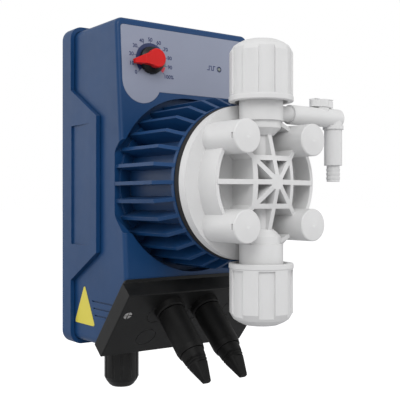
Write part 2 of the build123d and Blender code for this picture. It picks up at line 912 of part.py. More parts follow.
# ---- cable gland -----------------------------------------------------------------------------
def gland_body():
    seat = gland_seat
    body = rod(gland_r, seat - gland_flange, seat)
    body += rod(gland_thread_r, seat, seat + gland_thread)
    body += rod(gland_nose_r, seat - gland_flange - gland_nose, seat - gland_flange)
    body -= rod(gland_bore_r, seat - gland_flange, seat + gland_thread + 1)
    well_r = gland_nose_r - 1.6
    body -= rod(well_r, seat - gland_flange - gland_nose - 1, seat - gland_flange - 0.5)
    return GLAND * body


def gland_locknut():
    low = gland_seat + front_wall + gland_pad
    nut = hexagon(2 * gland_thread_r + 2.4, low, low + gland_locknut_length)
    return GLAND * (nut - rod(gland_thread_r + seat_gap, low - 1, low + gland_locknut_length + 1))


def gland_seal():
    top = gland_seat - gland_flange - 0.5
    outer = gland_nose_r - 1.6 - seat_gap
    return GLAND * tube(gland_entry_r, outer, top - gland_seal_length, top)


def gland_claw():
    """Ring of clamping fingers that the dome nut pushes up and carries down with it."""
    low = gland_nut_end + 0.4
    nose_low = gland_seat - gland_flange - gland_nose
    top = nose_low - free_gap
    outer = gland_nose_r - 0.2
    claw = tube(outer - gland_claw_wall, outer, max(low, top - gland_claw_length), top)
    claw -= [Rot(0, 0, i * 60) * block(4, 12, -0.5, 0.5, top - 4, top + 1) for i in range(6)]
    return GLAND * claw


def gland_nut():
    end = gland_nut_end - gland_dome
    bore = gland_nose_r + running_gap
    step = gland_nut_end + 0.2
    outline = [
        (bore, gland_nut_start),
        (gland_r - 0.3, gland_nut_start),
        (gland_r, gland_nut_start - 0.6),
        (gland_r, gland_nut_end),
        (gland_r - 1.2, gland_nut_end - 2.4),
        (gland_dome_r + 1.4, end + 1),
        (gland_dome_r, end),
        (gland_entry_r, end),
        (gland_entry_r, end + gland_entry_wall),
        (bore, step),
    ]
    nut = turned(outline)
    flute = rod(gland_flute_r, gland_nut_end - 3, gland_nut_start - 1.5)
    for i in range(gland_flutes):
        place = Rot(0, 0, i * 360 / gland_flutes) * Pos(gland_r + gland_flute_r * 0.5, 0, 0)
        nut -= place * flute
    return GLAND * nut


def side_sticker():
    """Plain triangular sticker, low on the left side."""
    outline = Polyline(
        (rim_depth + 0.6, -88.4),
        (rim_depth + 27.2, -88.4),
        (rim_depth + 13.6, -63.2),
        close=True,
    )
    face = fillet(make_face(outline).vertices(), 1.2)
    place = Plane(origin=(-front_half_x, 0, 0), x_dir=(0, -1, 0), z_dir=(-1, 0, 0))
    return place * extrude(face, 0.25)


# ---- pump head -------------------------------------------------------------------------------
def backing_ring():
    ring = tube(chamber_r, ring_r, dome_front, ring_front)
    for place in corners(post_half, post_half):
        ring -= place * rod(head_screw_r + free_gap, dome_front - 1, ring_front + 1)
    return HEAD * ring


def diaphragm():
    """Flexible disc clamped at its rim, with a bonded hub on the push rod."""
    disc = rod(diaphragm_r, ring_front, diaphragm_front)
    hub = rod(diaphragm_hub_r, hub_back, hub_front)
    hub = chamfer(hub.edges().filter_by(GeomType.CIRCLE), 0.8)
    socket = rod(rod_r + running_gap, hub_back - 1, rod_end + 0.1)
    return HEAD * (disc + hub - socket)


def head_ribs():
    """Crowned ribs in the head's front recess: a cross, a square and two diagonals."""
    reach = boss_r - boss_wall / 2
    low = floor_depth - 1
    high = ring_front + rib_crown
    half = rib_thickness / 2
    ribs = block(-reach, reach, -half, half, low, high)
    ribs += block(-half, half, -neck_end + 1, neck_end - 1, low, high)
    span = rib_half + half
    for s in (-1, 1):
        ribs += block(s * rib_half - half, s * rib_half + half, -span, span, low, high)
        ribs += block(-span, span, s * rib_half - half, s * rib_half + half, low, high)
    long = hypot(post_half, post_half) - post_r / 2
    for turn in (45, 135):
        ribs += Rot(0, 0, turn) * block(-long, long, -half, half, low, high)
    ribs += rod(hub_r, low, high)
    crown = turned([
        (0, low),
        (neck_end, low),
        (neck_end, boss_front - (neck_end - boss_r) * 0.28),
        (boss_r, boss_front),
        (hub_r, high - 0.4),
        (0, high - 0.4),
    ])
    return ribs & crown


def valve_line_stock():
    """Column, collar and neck of one valve line, before its bores."""
    return turned([
        (0, 0),
        (column_r, 0),
        (column_r, collar_start),
        (collar_r - collar_round, collar_start),
        (collar_r, collar_start + collar_round),
        (collar_r, neck_start),
        (neck_r, neck_start),
        (neck_r, neck_end),
        (0, neck_end),
    ])


def pump_head():
    head = rod(flange_r, ring_front, flange_front) + rod(boss_r, ring_front, boss_front)
    head -= rod(boss_r - boss_wall, floor_depth, boss_front + 1)
    head += head_ribs()
    for place in corners(post_half, post_half):
        head += place * rod(post_r, ring_front, post_front)
    head = HEAD * head
    head += UPPER * valve_line_stock() + LOWER * valve_line_stock()
    well_r = valve_bore_r + 2 * (seal_r + seal_room)
    for line in (UPPER, LOWER):
        head -= line * rod(valve_bore_r, valve_bore_end, neck_end + 1)
        head -= line * rod(port_r, -1, valve_bore_end + 1)
        head -= line * rod(well_r, neck_end - 2 * (seal_r + seal_room / 2), neck_end + 1)
    cuts = rod(diaphragm_r + seat_gap, ring_front - 1, diaphragm_front)
    cuts += turned([
        (0, diaphragm_front - 1),
        (chamber_r, diaphragm_front - 1),
        (chamber_r, diaphragm_front),
        (chamber_r - 4, diaphragm_front + chamber_depth),
        (0, diaphragm_front + chamber_depth),
    ])
    cuts += rod(inlet_r, diaphragm_front, valve_depth)
    for place in corners(post_half, post_half):
        cuts += place * rod(head_screw_r + free_gap, ring_front - 1, screw_seat_depth + 1)
        cuts += place * rod(head_screw_head_r + free_gap, screw_seat_depth, post_front + 1)
    for sx in (-1, 1):
        for sy in (-1, 1):
            x = sx * (post_half + post_r)
            cuts += block(x - cap_slot, x + cap_slot, sy * post_half - 1.6, sy * post_half + 1.6,
                          post_front - cap_slot, post_front + 1)
    head -= HEAD * cuts
    bleed_bore = rod(bleed_collar_r + seat_gap, neck_r - bleed_spot, neck_r + 2)
    bleed_bore += rod(bleed_bore_r, 0, neck_r)
    return head - ACROSS * bleed_bore


def head_screws():
    screw = rod(head_screw_head_r, screw_seat_depth, screw_seat_depth + head_screw_head)
    screw += rod(head_screw_r, screw_tip_depth, screw_seat_depth)
    screw -= hexagon(4, screw_seat_depth + head_screw_head - 3,
                     screw_seat_depth + head_screw_head + 1)
    return Compound(children=[HEAD * place * screw for place in corners(post_half, post_half)])


def screw_caps():
    rim = post_front + cap_thickness
    cap = turned([
        (0, post_front - cap_stem),
        (head_screw_head_r + free_gap - seat_gap, post_front - cap_stem),
        (head_screw_head_r + free_gap - seat_gap, post_front),
        (post_r, post_front),
        (post_r, rim - 0.5),
        (post_r - 0.5, rim),
        (0, rim + cap_crown),
    ])
    return Compound(children=[HEAD * place * cap for place in corners(post_half, post_half)])


# ---- valves ----------------------------------------------------------------------------------
def valve_ring_blank(hole_r):
    return tube(hole_r, valve_bore_r - seat_gap, valve_bore_end, ring_top)


def cross_slots(start, end):
    """Flow slots beside a ball stop, so that the lifted ball doesn't close it."""
    reach = ball_room_r
    slots = [Rot(0, 0, i * 60) * block(-reach, reach, -valve_slot / 2, valve_slot / 2, start, end)
             for i in range(3)]
    return slots


def suction_ball_room():
    """Start and end of the suction ball's room, measured down from the head axis."""
    travel = ball_lift + 2 * ball_gap + stop_ball_drop + seat_ball_drop
    return ring_top, ring_top + travel


def discharge_ball_room():
    travel = ball_lift + 2 * ball_gap + stop_ball_drop + seat_ball_drop
    return ring_top, ring_top + travel


def valve_stock():
    return turned([
        (0, ring_top),
        (valve_bore_r - seat_gap, ring_top),
        (valve_bore_r - seat_gap, neck_end),
        (neck_r, neck_end),
        (neck_r, flange_top),
        (spigot_r, flange_top),
        (spigot_r, spigot_top - 0.8),
        (spigot_r - 0.8, spigot_top),
        (0, spigot_top),
    ])


def discharge_valve_body():
    start, end = discharge_ball_room()
    body = valve_stock() - rod(ball_room_r, start - 1, end)
    body -= rod(valve_stop_r, start, spigot_top + 1)
    body -= cross_slots(start, end + 2)
    return UPPER * body


def suction_valve_body():
    start, end = suction_ball_room()
    body = valve_stock() - rod(ball_room_r, start - 1, end)
    body -= rod(valve_seat_r, start, spigot_top + 1)
    return LOWER * body


def discharge_seat():
    return UPPER * valve_ring_blank(valve_seat_r)


def suction_cage():
    ring = valve_ring_blank(valve_stop_r)
    ring -= cross_slots(ring_top - 2, ring_top + 1)
    return LOWER * ring


def discharge_ball():
    height = ring_top + seat_ball_drop + ball_gap
    return UPPER * Pos(0, 0, height) * Sphere(ball_r)


def suction_ball():
    height = suction_ball_room()[1] - seat_ball_drop - ball_gap
    return LOWER * Pos(0, 0, height) * Sphere(ball_r)


def valve_seal(line):
    """Square-section ring with broken edges, round the valve body in the neck's well."""
    middle = neck_end - seal_r - seal_room / 2
    inner = valve_bore_r + seal_room
    ring = tube(inner, inner + 2 * seal_r, middle - seal_r, middle + seal_r)
    return line * chamfer(ring.edges().filter_by(GeomType.CIRCLE), seal_r / 3)


def hose_nozzle(line):
    top = spigot_top + nozzle_flange
    end = nut_bore_end - free_gap
    barb = nozzle_r + nozzle_barb
    outline = [
        (nozzle_bore_r, spigot_top),
        (nozzle_flange_r, spigot_top),
        (nozzle_flange_r, top),
        (nozzle_r, top),
        (nozzle_r, top + 5),
        (barb, top + 5),
        (nozzle_r, top + 9),
        (barb, top + 9),
        (nozzle_r - 0.4, end),
        (nozzle_bore_r, end),
    ]
    return line * turned(outline)


def clamp_ring(line):
    start = clamp_start
    end = start + clamp_ring_length
    bore = hose_r + clamp_hose_gap
    return line * turned([
        (bore, start),
        (clamp_ring_r - 1.6, start),
        (clamp_ring_r, start + 2.4),
        (clamp_ring_r, end),
        (bore, end),
    ])


def hose_nut(line):
    """Hand nut with raised grip pads, a round shoulder and the hose entry."""
    bore = spigot_r + running_gap
    outer = turned([
        (bore, nut_start),
        (nut_skirt_r - 0.4, nut_start),
        (nut_skirt_r, nut_start + 0.4),
        (nut_skirt_r, nut_start + nut_skirt - 0.4),
        (nut_r, nut_start + nut_skirt),
        (nut_r, nut_shoulder),
        (nut_r - 2.2, nut_shoulder + 3.6),
        (nut_top_r + 3.4, nut_end - 1.6),
        (nut_top_r, nut_end),
        (hose_r, nut_end),
        (hose_r, nut_bore_end),
        (nut_inner_r, nut_bore_end),
        (nut_inner_r, nut_start + nut_thread + 2),
        (bore, nut_start + nut_thread),
    ])
    low = nut_start + nut_skirt + 0.6
    high = nut_shoulder + 3.6
    half = nut_pad_angle / 2
    reach = nut_r + 2
    inner = nut_r - nut_pad_depth
    edge = (reach * cos(radians(half)), reach * sin(radians(half)))
    root = (inner * cos(radians(half)), inner * sin(radians(half)))
    gap = make_face(Polyline(root, edge, (edge[0], -edge[1]), (root[0], -root[1]), close=True))
    gap -= Circle(inner)
    cut = Pos(0, 0, low) * extrude(gap, high - low)
    outer -= [Rot(0, 0, i * 360 / nut_pads) * cut for i in range(nut_pads)]
    return line * outer


# ---- bleed valve -----------------------------------------------------------------------------
def bleed_body():
    start = neck_r - bleed_spot + seat_gap
    pipe = rod(bleed_collar_r, start, bleed_collar_end + 1)
    arm = rod(bleed_r, bleed_collar_end, bleed_end)
    arm = chamfer(arm.faces().sort_by(Axis.Z)[-1].edges(), 1.6)
    body = ACROSS * (pipe + arm)
    down = Pos(bleed_drop_x, -valve_depth, 0)
    body += down * rod(bleed_tube_r, bleed_tube_end, bleed_height)
    ring_low = bleed_height - bleed_r - bleed_ring / 2
    body += down * rod(bleed_ring_r, ring_low, ring_low + bleed_ring)
    body += down * rod(bleed_nipple_r, bleed_nipple_end, bleed_tube_end)
    body -= down * rod(bleed_bore_r, bleed_nipple_end - 1, bleed_height)
    body -= ACROSS * rod(bleed_bore_r, 0, bleed_drop_x)
    seat = Pos(bleed_knob_x, -valve_depth, 0)
    top = bleed_height + bleed_r
    body += seat * rod(bleed_stem_r + 1.6, bleed_height, top)
    body -= seat * rod(bleed_stem_r + running_gap, top - bleed_stem, top + 1)
    return body


def bleed_knob():
    """Quarter-turn wing on the bleed valve, with its plug in the body."""
    top = bleed_height + bleed_r
    low = top + free_gap
    knob = slab(wing_length / 2, wing_width / 2, 2.4, low, low + wing_height)
    knob = chamfer(knob.faces().sort_by(Axis.Z)[-1].edges(), 0.8)
    knob += rod(bleed_stem_r + 1.4, low, low + wing_height)
    knob += rod(bleed_stem_r, top - bleed_stem + 0.2, low)
    return Pos(bleed_knob_x, -valve_depth, 0) * knob


# ---- solenoid --------------------------------------------------------------------------------
def solenoid_yoke():
    body = rod(yoke_r, yoke_start, yoke_end)
    body -= rod(yoke_r - yoke_wall, yoke_start - 1, yoke_end - yoke_front)
    body -= rod(bobbin_bore_r + seat_gap, yoke_start, yoke_end + 1)
    return HEAD * body


def yoke_cover():
    return HEAD * rod(yoke_r - yoke_wall - seat_gap, yoke_start, yoke_start + yoke_plate)


def bobbin_span():
    return yoke_start + yoke_plate + 0.2, yoke_end - yoke_front - 0.2


def coil_bobbin():
    low, high = bobbin_span()
    wide = yoke_r - yoke_wall - free_gap
    tube_r = bobbin_bore_r + bobbin_wall
    return HEAD * turned([
        (bobbin_bore_r, low),
        (wide, low),
        (wide, low + bobbin_flange),
        (tube_r, low + bobbin_flange),
        (tube_r, high - bobbin_flange),
        (wide, high - bobbin_flange),
        (wide, high),
        (bobbin_bore_r, high),
    ])


def coil_winding():
    low, high = bobbin_span()
    inner = bobbin_bore_r + bobbin_wall + 0.05
    outer = yoke_r - yoke_wall - 2
    return HEAD * tube(inner, outer, low + bobbin_flange + 0.05, high - bobbin_flange - 0.05)


def pole_core():
    """Fixed pole at the front of the bobbin's bore, with the spring's pocket."""
    pole = rod(bobbin_bore_r - 0.1, pole_start, yoke_end)
    pole -= rod(rod_r + free_gap, pole_start - 1, yoke_end + 1)
    pole -= rod(spring_pocket_r, pole_start - 1, pole_start + spring_pocket)
    return HEAD * pole


def plunger():
    body = rod(bobbin_bore_r - running_gap, plunger_back, plunger_front)
    body = chamfer(body.edges().filter_by(GeomType.CIRCLE), 0.6)
    return HEAD * (body - rod(rod_r + 0.02, plunger_front - rod_socket, plunger_front + 1))


def push_rod():
    return HEAD * rod(rod_r, plunger_front - rod_socket + 0.05, rod_end)


def return_spring():
    """Flat-wire compression spring between the plunger and the pole's pocket."""
    half = spring_wire / 2
    low = plunger_front + half + 0.05
    length = pole_start + spring_pocket - half - 0.05 - low
    path = Helix(length / spring_turns, length, spring_r)
    start = Plane(origin=path @ 0, x_dir=(1, 0, 0), z_dir=path % 0)
    coil = sweep(start * Rectangle(spring_wire, spring_wire), path=path, is_frenet=True)
    return HEAD * Pos(0, 0, low) * coil


def guide_bush():
    end = dome_front - free_gap
    body = rod(bush_r, end - bush_length, end)
    body += rod(bush_flange_r, dome_bore_end - bush_flange, dome_bore_end)
    return HEAD * (body - rod(rod_r + running_gap, end - bush_length - 1, end + 1))


def end_stop():
    start = yoke_start + yoke_plate
    return HEAD * rod(stop_r, start, plunger_back - stop_gap)


# ---- all pieces ------------------------------------------------------------------------------
left_plug, right_plug = plug_places()
pieces = {
    "wall_bracket": wall_bracket(),
    "rear_shell": rear_shell(),
    "housing_seal": housing_seal(),
    "housing_screws": housing_screws(),
    "front_shell": front_shell(),
    "control_panel": control_panel(),
    "rate_knob": rate_knob(),
    "knob_pointer": knob_pointer(),
    "rate_shaft": rate_shaft(),
    "potentiometer": potentiometer(),
    "circuit_board": circuit_board(),
    "board_screws": board_screws(),
    "status_leds": status_leds(),
    "terminal_cover": terminal_cover(),
    "terminal_cover_screws": terminal_cover_screws(),
    "terminal_block": terminal_block(),
    "left_signal_socket": signal_socket(left_plug),
    "left_plug_sleeve": plug_sleeve(left_plug),
    "left_plug_tail": plug_tail(left_plug),
    "right_signal_socket": signal_socket(right_plug),
    "right_plug_sleeve": plug_sleeve(right_plug),
    "right_plug_tail": plug_tail(right_plug),
    "gland_body": gland_body(),
    "gland_locknut": gland_locknut(),
    "gland_seal": gland_seal(),
    "gland_claw": gland_claw(),
    "gland_nut": gland_nut(),
    "side_sticker": side_sticker(),
    "backing_ring": backing_ring(),
    "diaphragm": diaphragm(),
    "pump_head": pump_head(),
    "head_screws": head_screws(),
    "screw_caps": screw_caps(),
    "discharge_seat": discharge_seat(),
    "discharge_valve_body": discharge_valve_body(),
    "discharge_ball": discharge_ball(),
    "discharge_seal": valve_seal(UPPER),
    "discharge_nozzle": hose_nozzle(UPPER),
    "discharge_clamp_ring": clamp_ring(UPPER),
    "discharge_nut": hose_nut(UPPER),
    "suction_cage": suction_cage(),
    "suction_valve_body": suction_valve_body(),
    "suction_ball": suction_ball(),
    "suction_seal": valve_seal(LOWER),
    "suction_nozzle": hose_nozzle(LOWER),
    "suction_clamp_ring": clamp_ring(LOWER),
    "suction_nut": hose_nut(LOWER),
    "bleed_body": bleed_body(),
    "bleed_knob": bleed_knob(),
    "solenoid_yoke": solenoid_yoke(),
    "yoke_cover": yoke_cover(),
    "coil_bobbin": coil_bobbin(),
    "coil_winding": coil_winding(),
    "pole_core": pole_core(),
    "plunger": plunger(),
    "push_rod": push_rod(),
    "return_spring": return_spring(),
    "guide_bush": guide_bush(),
    "end_stop": end_stop(),
}

os.makedirs("parts", exist_ok=True)
for name, piece in pieces.items():
    export_step(piece, f"parts/{name}.step")
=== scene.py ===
"""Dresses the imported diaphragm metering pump: finishes, lettering and small details, and its stage."""

import json
from math import cos, pi, radians, sin

import bmesh
import bpy
from mathutils import Matrix, Vector


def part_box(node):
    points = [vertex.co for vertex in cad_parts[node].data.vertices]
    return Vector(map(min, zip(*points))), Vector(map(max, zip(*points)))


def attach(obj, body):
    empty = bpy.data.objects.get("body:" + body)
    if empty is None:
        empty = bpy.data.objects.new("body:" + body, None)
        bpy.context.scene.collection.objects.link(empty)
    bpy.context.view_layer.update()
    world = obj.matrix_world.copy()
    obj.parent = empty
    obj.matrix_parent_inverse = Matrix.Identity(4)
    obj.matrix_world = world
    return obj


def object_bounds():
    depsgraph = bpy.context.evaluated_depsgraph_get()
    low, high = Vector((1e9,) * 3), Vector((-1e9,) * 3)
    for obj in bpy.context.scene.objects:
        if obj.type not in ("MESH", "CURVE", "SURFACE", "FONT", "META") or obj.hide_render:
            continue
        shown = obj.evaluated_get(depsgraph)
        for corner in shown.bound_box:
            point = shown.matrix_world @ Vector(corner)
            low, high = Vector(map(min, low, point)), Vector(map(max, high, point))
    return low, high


bl_info = {
    "name": "Diaphragm Metering Pump",
    "version": (1, 0, 0),
    "blender": (4, 5, 0),
    "location": "View3D > Sidebar > Metering Pump",
    "description": "Finishes, lettering and stage for a diaphragm metering pump",
    "category": "Object",
}

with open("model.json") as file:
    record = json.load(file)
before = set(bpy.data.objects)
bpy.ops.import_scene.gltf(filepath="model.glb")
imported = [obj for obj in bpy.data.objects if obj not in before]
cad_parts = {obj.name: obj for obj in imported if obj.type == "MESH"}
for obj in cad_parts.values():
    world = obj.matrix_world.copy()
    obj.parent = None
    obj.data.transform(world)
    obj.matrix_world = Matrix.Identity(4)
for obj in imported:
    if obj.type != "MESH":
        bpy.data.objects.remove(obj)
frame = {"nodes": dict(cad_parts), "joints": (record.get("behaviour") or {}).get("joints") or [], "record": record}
CAD_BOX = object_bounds()
MM = 0.001
JOINTS = {joint["name"]: joint for joint in frame["joints"]}


def joint_place(name):
    """Place at a joint's centre, with Z along its axis and X level."""
    joint = JOINTS[name]
    z = Vector(joint["axis"]).normalized()
    x = Vector((1, 0, 0)) if abs(z.x) < 0.9 else Vector((0, 1, 0))
    y = z.cross(x).normalized()
    x = y.cross(z)
    turned = Matrix((x, y, z)).transposed().to_4x4()
    return Matrix.Translation(joint["pos_m"]) @ turned


# ---- settings --------------------------------------------------------------------------------
def colour(name, description, value):
    return bpy.props.FloatVectorProperty(
        name=name, description=description, default=value, subtype="COLOR", min=0, max=1)


def length(name, description, value):
    return bpy.props.FloatProperty(
        name=name, description=description, default=value * MM, unit="LENGTH", min=0)


class FinishSettings(bpy.types.PropertyGroup):
    """Main colours of the pump, in linear light."""

    casing_blue: colour("Casing blue", "Moulded shells and bracket", (0.0055, 0.048, 0.150))
    panel_grey: colour("Panel grey", "Printed control panel", (0.262, 0.288, 0.378))
    print_navy: colour("Print navy", "Scale and marks on the panel", (0.012, 0.022, 0.085))
    pointer_red: colour("Pointer red", "Pointer of the rate knob", (0.640, 0.011, 0.011))
    knob_black: colour("Knob black", "Rate knob", (0.008, 0.008, 0.008))
    cover_black: colour("Cover black", "Terminal cover", (0.0075, 0.0078, 0.0078))
    plug_black: colour("Plug black", "Plugs and sockets", (0.0035, 0.0035, 0.0035))
    sticker_yellow: colour("Sticker yellow", "Plain sticker", (0.740, 0.640, 0.065))
    head_white: colour("Head white", "Pump head, nuts and valves", (0.715, 0.715, 0.715))


class DialSettings(bpy.types.PropertyGroup):
    """Printed scale round the rate knob."""

    zero_angle: bpy.props.FloatProperty(
        name="Zero angle", description="Direction of the 0 mark, from the right",
        default=radians(219), subtype="ANGLE", unit="ROTATION")
    sweep: bpy.props.FloatProperty(
        name="Sweep", description="Turn from 0 to 100 percent", default=radians(258),
        subtype="ANGLE", unit="ROTATION")
    band_inner: length("Band inner radius", "Inside of the printed band", 7.6)
    band_outer: length("Band outer radius", "Outside of the printed band", 10.8)
    tick_length: length("Tick length", "Ticks outside the band", 1.3)
    number_aside: length("Numbers aside", "Numbers' distance from the knob, sideways", 14.2)
    number_above: length("Numbers above", "Numbers' distance from the knob, upwards", 12.9)
    number_size: length("Number size", "Height of the lettering", 3.3)
    number_bold: length("Number weight", "Added to the strokes of the lettering", 0.07)
    ink: length("Ink", "Thickness of the print", 0.04)


class DetailSettings(bpy.types.PropertyGroup):
    """Small moulded details."""

    lamp_rim: length("Lamp rim", "Width of the rim round each status lamp", 0.45)
    tail_rib: length("Tail rib", "Thickness of the ribs on the plug tails", 0.55)
    wing_rib: length("Wing rib", "Thickness of the grip ribs on the bleed wing", 0.45)
    nipple_barb: length("Nipple barb", "Height of the barbs on the bleed nipple", 0.35)


class StageSettings(bpy.types.PropertyGroup):
    """Camera, floor and lamps."""

    lens: bpy.props.FloatProperty(
        name="Lens", description="Focal length on a 36 mm sensor, in mm", default=70.46, min=10)
    eye: bpy.props.FloatVectorProperty(
        name="Eye", description="Place of the camera", default=(-0.28577, -0.47424, -0.01078),
        subtype="TRANSLATION", unit="LENGTH")
    heading: bpy.props.FloatProperty(
        name="Heading", description="Turn of the view to the right of straight into the wall",
        default=radians(36.22), subtype="ANGLE", unit="ROTATION")
    pitch: bpy.props.FloatProperty(
        name="Pitch", description="Upward tilt of the view", default=radians(0.13),
        subtype="ANGLE", unit="ROTATION")
    floor_gap: length("Floor gap", "Height of the pump above the floor", 40)
    floor_colour: colour("Floor colour", "Floor under the pump", (0.60, 0.60, 0.61))
    floor_lift: bpy.props.FloatProperty(
        name="Floor lift", description="White added to the floor as the camera sees it",
        default=0.72, min=0, max=1)
    ambient: bpy.props.FloatProperty(
        name="Ambient", description="Strength of the studio's even light", default=0.66, min=0)


# ---- shader building -------------------------------------------------------------------------
def add(tree, kind, values=None, **settings):
    """New node with its settings and the values of its inputs."""
    made = tree.nodes.new("ShaderNode" + kind)
    for name, value in settings.items():
        setattr(made, name, value)
    for name, value in (values or {}).items():
        if isinstance(value, bpy.types.NodeSocket):
            tree.links.new(value, made.inputs[name])
        else:
            made.inputs[name].default_value = value
    return made


def rgba(value):
    return (value[0], value[1], value[2], 1)


def mix_colour(tree, factor, first, second):
    made = tree.nodes.new("ShaderNodeMix")
    made.data_type = "RGBA"
    for socket, value in ((made.inputs[0], factor), (made.inputs[6], first), (made.inputs[7], second)):
        if isinstance(value, bpy.types.NodeSocket):
            tree.links.new(value, socket)
        else:
            socket.default_value = value
    return made.outputs[2]


def spread(tree, value, low, high, to_low=0.0, to_high=1.0):
    made = add(tree, "MapRange", {"Value": value, "From Min": low, "From Max": high,
                                  "To Min": to_low, "To Max": to_high})
    return made.outputs["Result"]


def maths(tree, operation, first, second):
    made = tree.nodes.new("ShaderNodeMath")
    made.operation = operation
    for socket, value in zip(made.inputs, (first, second)):
        if isinstance(value, bpy.types.NodeSocket):
            tree.links.new(value, socket)
        else:
            socket.default_value = value
    return made.outputs[0]


SOCKET_KINDS = {"v": "NodeSocketVector", "c": "NodeSocketColor", "f": "NodeSocketFloat"}


def group(name, takes, gives):
    """Empty shader group with its sockets, and its input and output nodes."""
    tree = bpy.data.node_groups.new(name, "ShaderNodeTree")
    for socket, kind in takes:
        tree.interface.new_socket(name=socket, in_out="INPUT", socket_type=SOCKET_KINDS[kind])
    for socket, kind in gives:
        tree.interface.new_socket(name=socket, in_out="OUTPUT", socket_type=SOCKET_KINDS[kind])
    return tree, tree.nodes.new("NodeGroupInput").outputs, tree.nodes.new("NodeGroupOutput").inputs


def moulded_surface():
    """Cloudy colour, uneven gloss and a fine moulded grain."""
    tree, take, give = group(
        "moulded surface",
        [("Vector", "v"), ("Colour", "c"), ("Cloud Colour", "c"), ("Cloud Scale", "f"),
         ("Grain Scale", "f"), ("Roughness", "f"), ("Roughness Spread", "f")],
        [("Colour", "c"), ("Roughness", "f"), ("Height", "f")])
    cloud = add(tree, "TexNoise", {"Vector": take["Vector"], "Scale": take["Cloud Scale"],
                                   "Detail": 4, "Roughness": 0.6})
    clouded = mix_colour(tree, spread(tree, cloud.outputs["Fac"], 0.35, 0.68),
                         take["Colour"], take["Cloud Colour"])
    grain = add(tree, "TexNoise", {"Vector": take["Vector"], "Scale": take["Grain Scale"],
                                   "Detail": 2, "Roughness": 0.55})
    patches = add(tree, "TexNoise", {"Vector": take["Vector"], "Scale": 140, "Detail": 3})
    centred = maths(tree, "SUBTRACT", patches.outputs["Fac"], 0.5)
    swing = maths(tree, "MULTIPLY", centred, take["Roughness Spread"])
    tree.links.new(clouded, give["Colour"])
    tree.links.new(maths(tree, "ADD", swing, take["Roughness"]), give["Roughness"])
    tree.links.new(grain.outputs["Fac"], give["Height"])
    return tree


def edge_wear():
    """Rubbed colour and painted highlight along outer edges: a lighter colour there, broken up by noise."""
    tree, take, give = group(
        "edge wear and painted highlight",
        [("Vector", "v"), ("Colour", "c"), ("Rubbed And Highlight Colour", "c"), ("Width", "f"), ("Amount", "f")],
        [("Colour", "c"), ("Mask", "f")])
    # Outer edges get a lighter colour: partly rubbed wear, partly a painted edge highlight.
    rounded = add(tree, "Bevel", {"Radius": take["Width"]}, samples=4)
    flat = add(tree, "NewGeometry")
    dot = add(tree, "VectorMath", operation="DOT_PRODUCT")
    tree.links.new(rounded.outputs["Normal"], dot.inputs[0])
    tree.links.new(flat.outputs["Normal"], dot.inputs[1])
    edge = spread(tree, dot.outputs["Value"], 0.995, 0.86)
    edge_breakup = add(tree, "TexNoise", {"Vector": take["Vector"], "Scale": 260, "Detail": 5})
    broken = maths(tree, "MULTIPLY", edge, spread(tree, edge_breakup.outputs["Fac"], 0.42, 0.62))
    mask = maths(tree, "MULTIPLY", broken, take["Amount"])
    tree.links.new(mix_colour(tree, mask, take["Colour"], take["Rubbed And Highlight Colour"]), give["Colour"])
    tree.links.new(mask, give["Mask"])
    return tree


def settled_dust():
    """Thin dust on what faces up."""
    tree, take, give = group(
        "settled dust",
        [("Vector", "v"), ("Colour", "c"), ("Dust Colour", "c"), ("Amount", "f")],
        [("Colour", "c")])
    facing = add(tree, "SeparateXYZ", {"Vector": add(tree, "NewGeometry").outputs["Normal"]})
    upward = spread(tree, facing.outputs["Z"], 0.35, 1.0)
    flecks = add(tree, "TexNoise", {"Vector": take["Vector"], "Scale": 90, "Detail": 6})
    loose = maths(tree, "MULTIPLY", upward, spread(tree, flecks.outputs["Fac"], 0.3, 0.75))
    mask = maths(tree, "MULTIPLY", loose, take["Amount"])
    tree.links.new(mix_colour(tree, mask, take["Colour"], take["Dust Colour"]), give["Colour"])
    return tree


def drawn_metal():
    """Fine lines from drawing or turning, in colour, gloss and height."""
    tree, take, give = group(
        "drawn metal",
        [("Vector", "v"), ("Colour", "c"), ("Line Colour", "c"), ("Line Scale", "f"),
         ("Roughness", "f")],
        [("Colour", "c"), ("Roughness", "f"), ("Height", "f")])
    stretch = add(tree, "Mapping", {"Vector": take["Vector"], "Scale": (1, 14, 1)})
    lines = add(tree, "TexNoise", {"Vector": stretch.outputs["Vector"], "Scale": take["Line Scale"],
                                   "Detail": 3})
    shaded = mix_colour(tree, spread(tree, lines.outputs["Fac"], 0.35, 0.65),
                        take["Colour"], take["Line Colour"])
    swing = spread(tree, lines.outputs["Fac"], 0.3, 0.7, -0.07, 0.07)
    tree.links.new(shaded, give["Colour"])
    tree.links.new(maths(tree, "ADD", swing, take["Roughness"]), give["Roughness"])
    tree.links.new(lines.outputs["Fac"], give["Height"])
    return tree


def shared(name):
    """The shared group of that name, built the first time it is asked for."""
    makers = {"moulded surface": moulded_surface, "edge wear and painted highlight": edge_wear,
              "settled dust": settled_dust, "drawn metal": drawn_metal}
    return bpy.data.node_groups.get(name) or makers[name]()


def use(tree, name, values):
    made = tree.nodes.new("ShaderNodeGroup")
    made.node_tree = shared(name)
    for socket, value in values.items():
        if isinstance(value, bpy.types.NodeSocket):
            tree.links.new(value, made.inputs[socket])
        else:
            made.inputs[socket].default_value = value
    return made.outputs


def new_material(name):
    """Material with its object coordinates and its Principled shader."""
    made = bpy.data.materials.new(name)
    made.use_nodes = True
    tree = made.node_tree
    shader = tree.nodes["Principled BSDF"]
    place = add(tree, "TexCoord").outputs["Object"]
    return made, tree, shader, place


def scaled(value, factor):
    return tuple(min(1.0, channel * factor) for channel in value[:3])


def lifted(value, amount):
    return tuple(channel + (1 - channel) * amount for channel in value[:3])


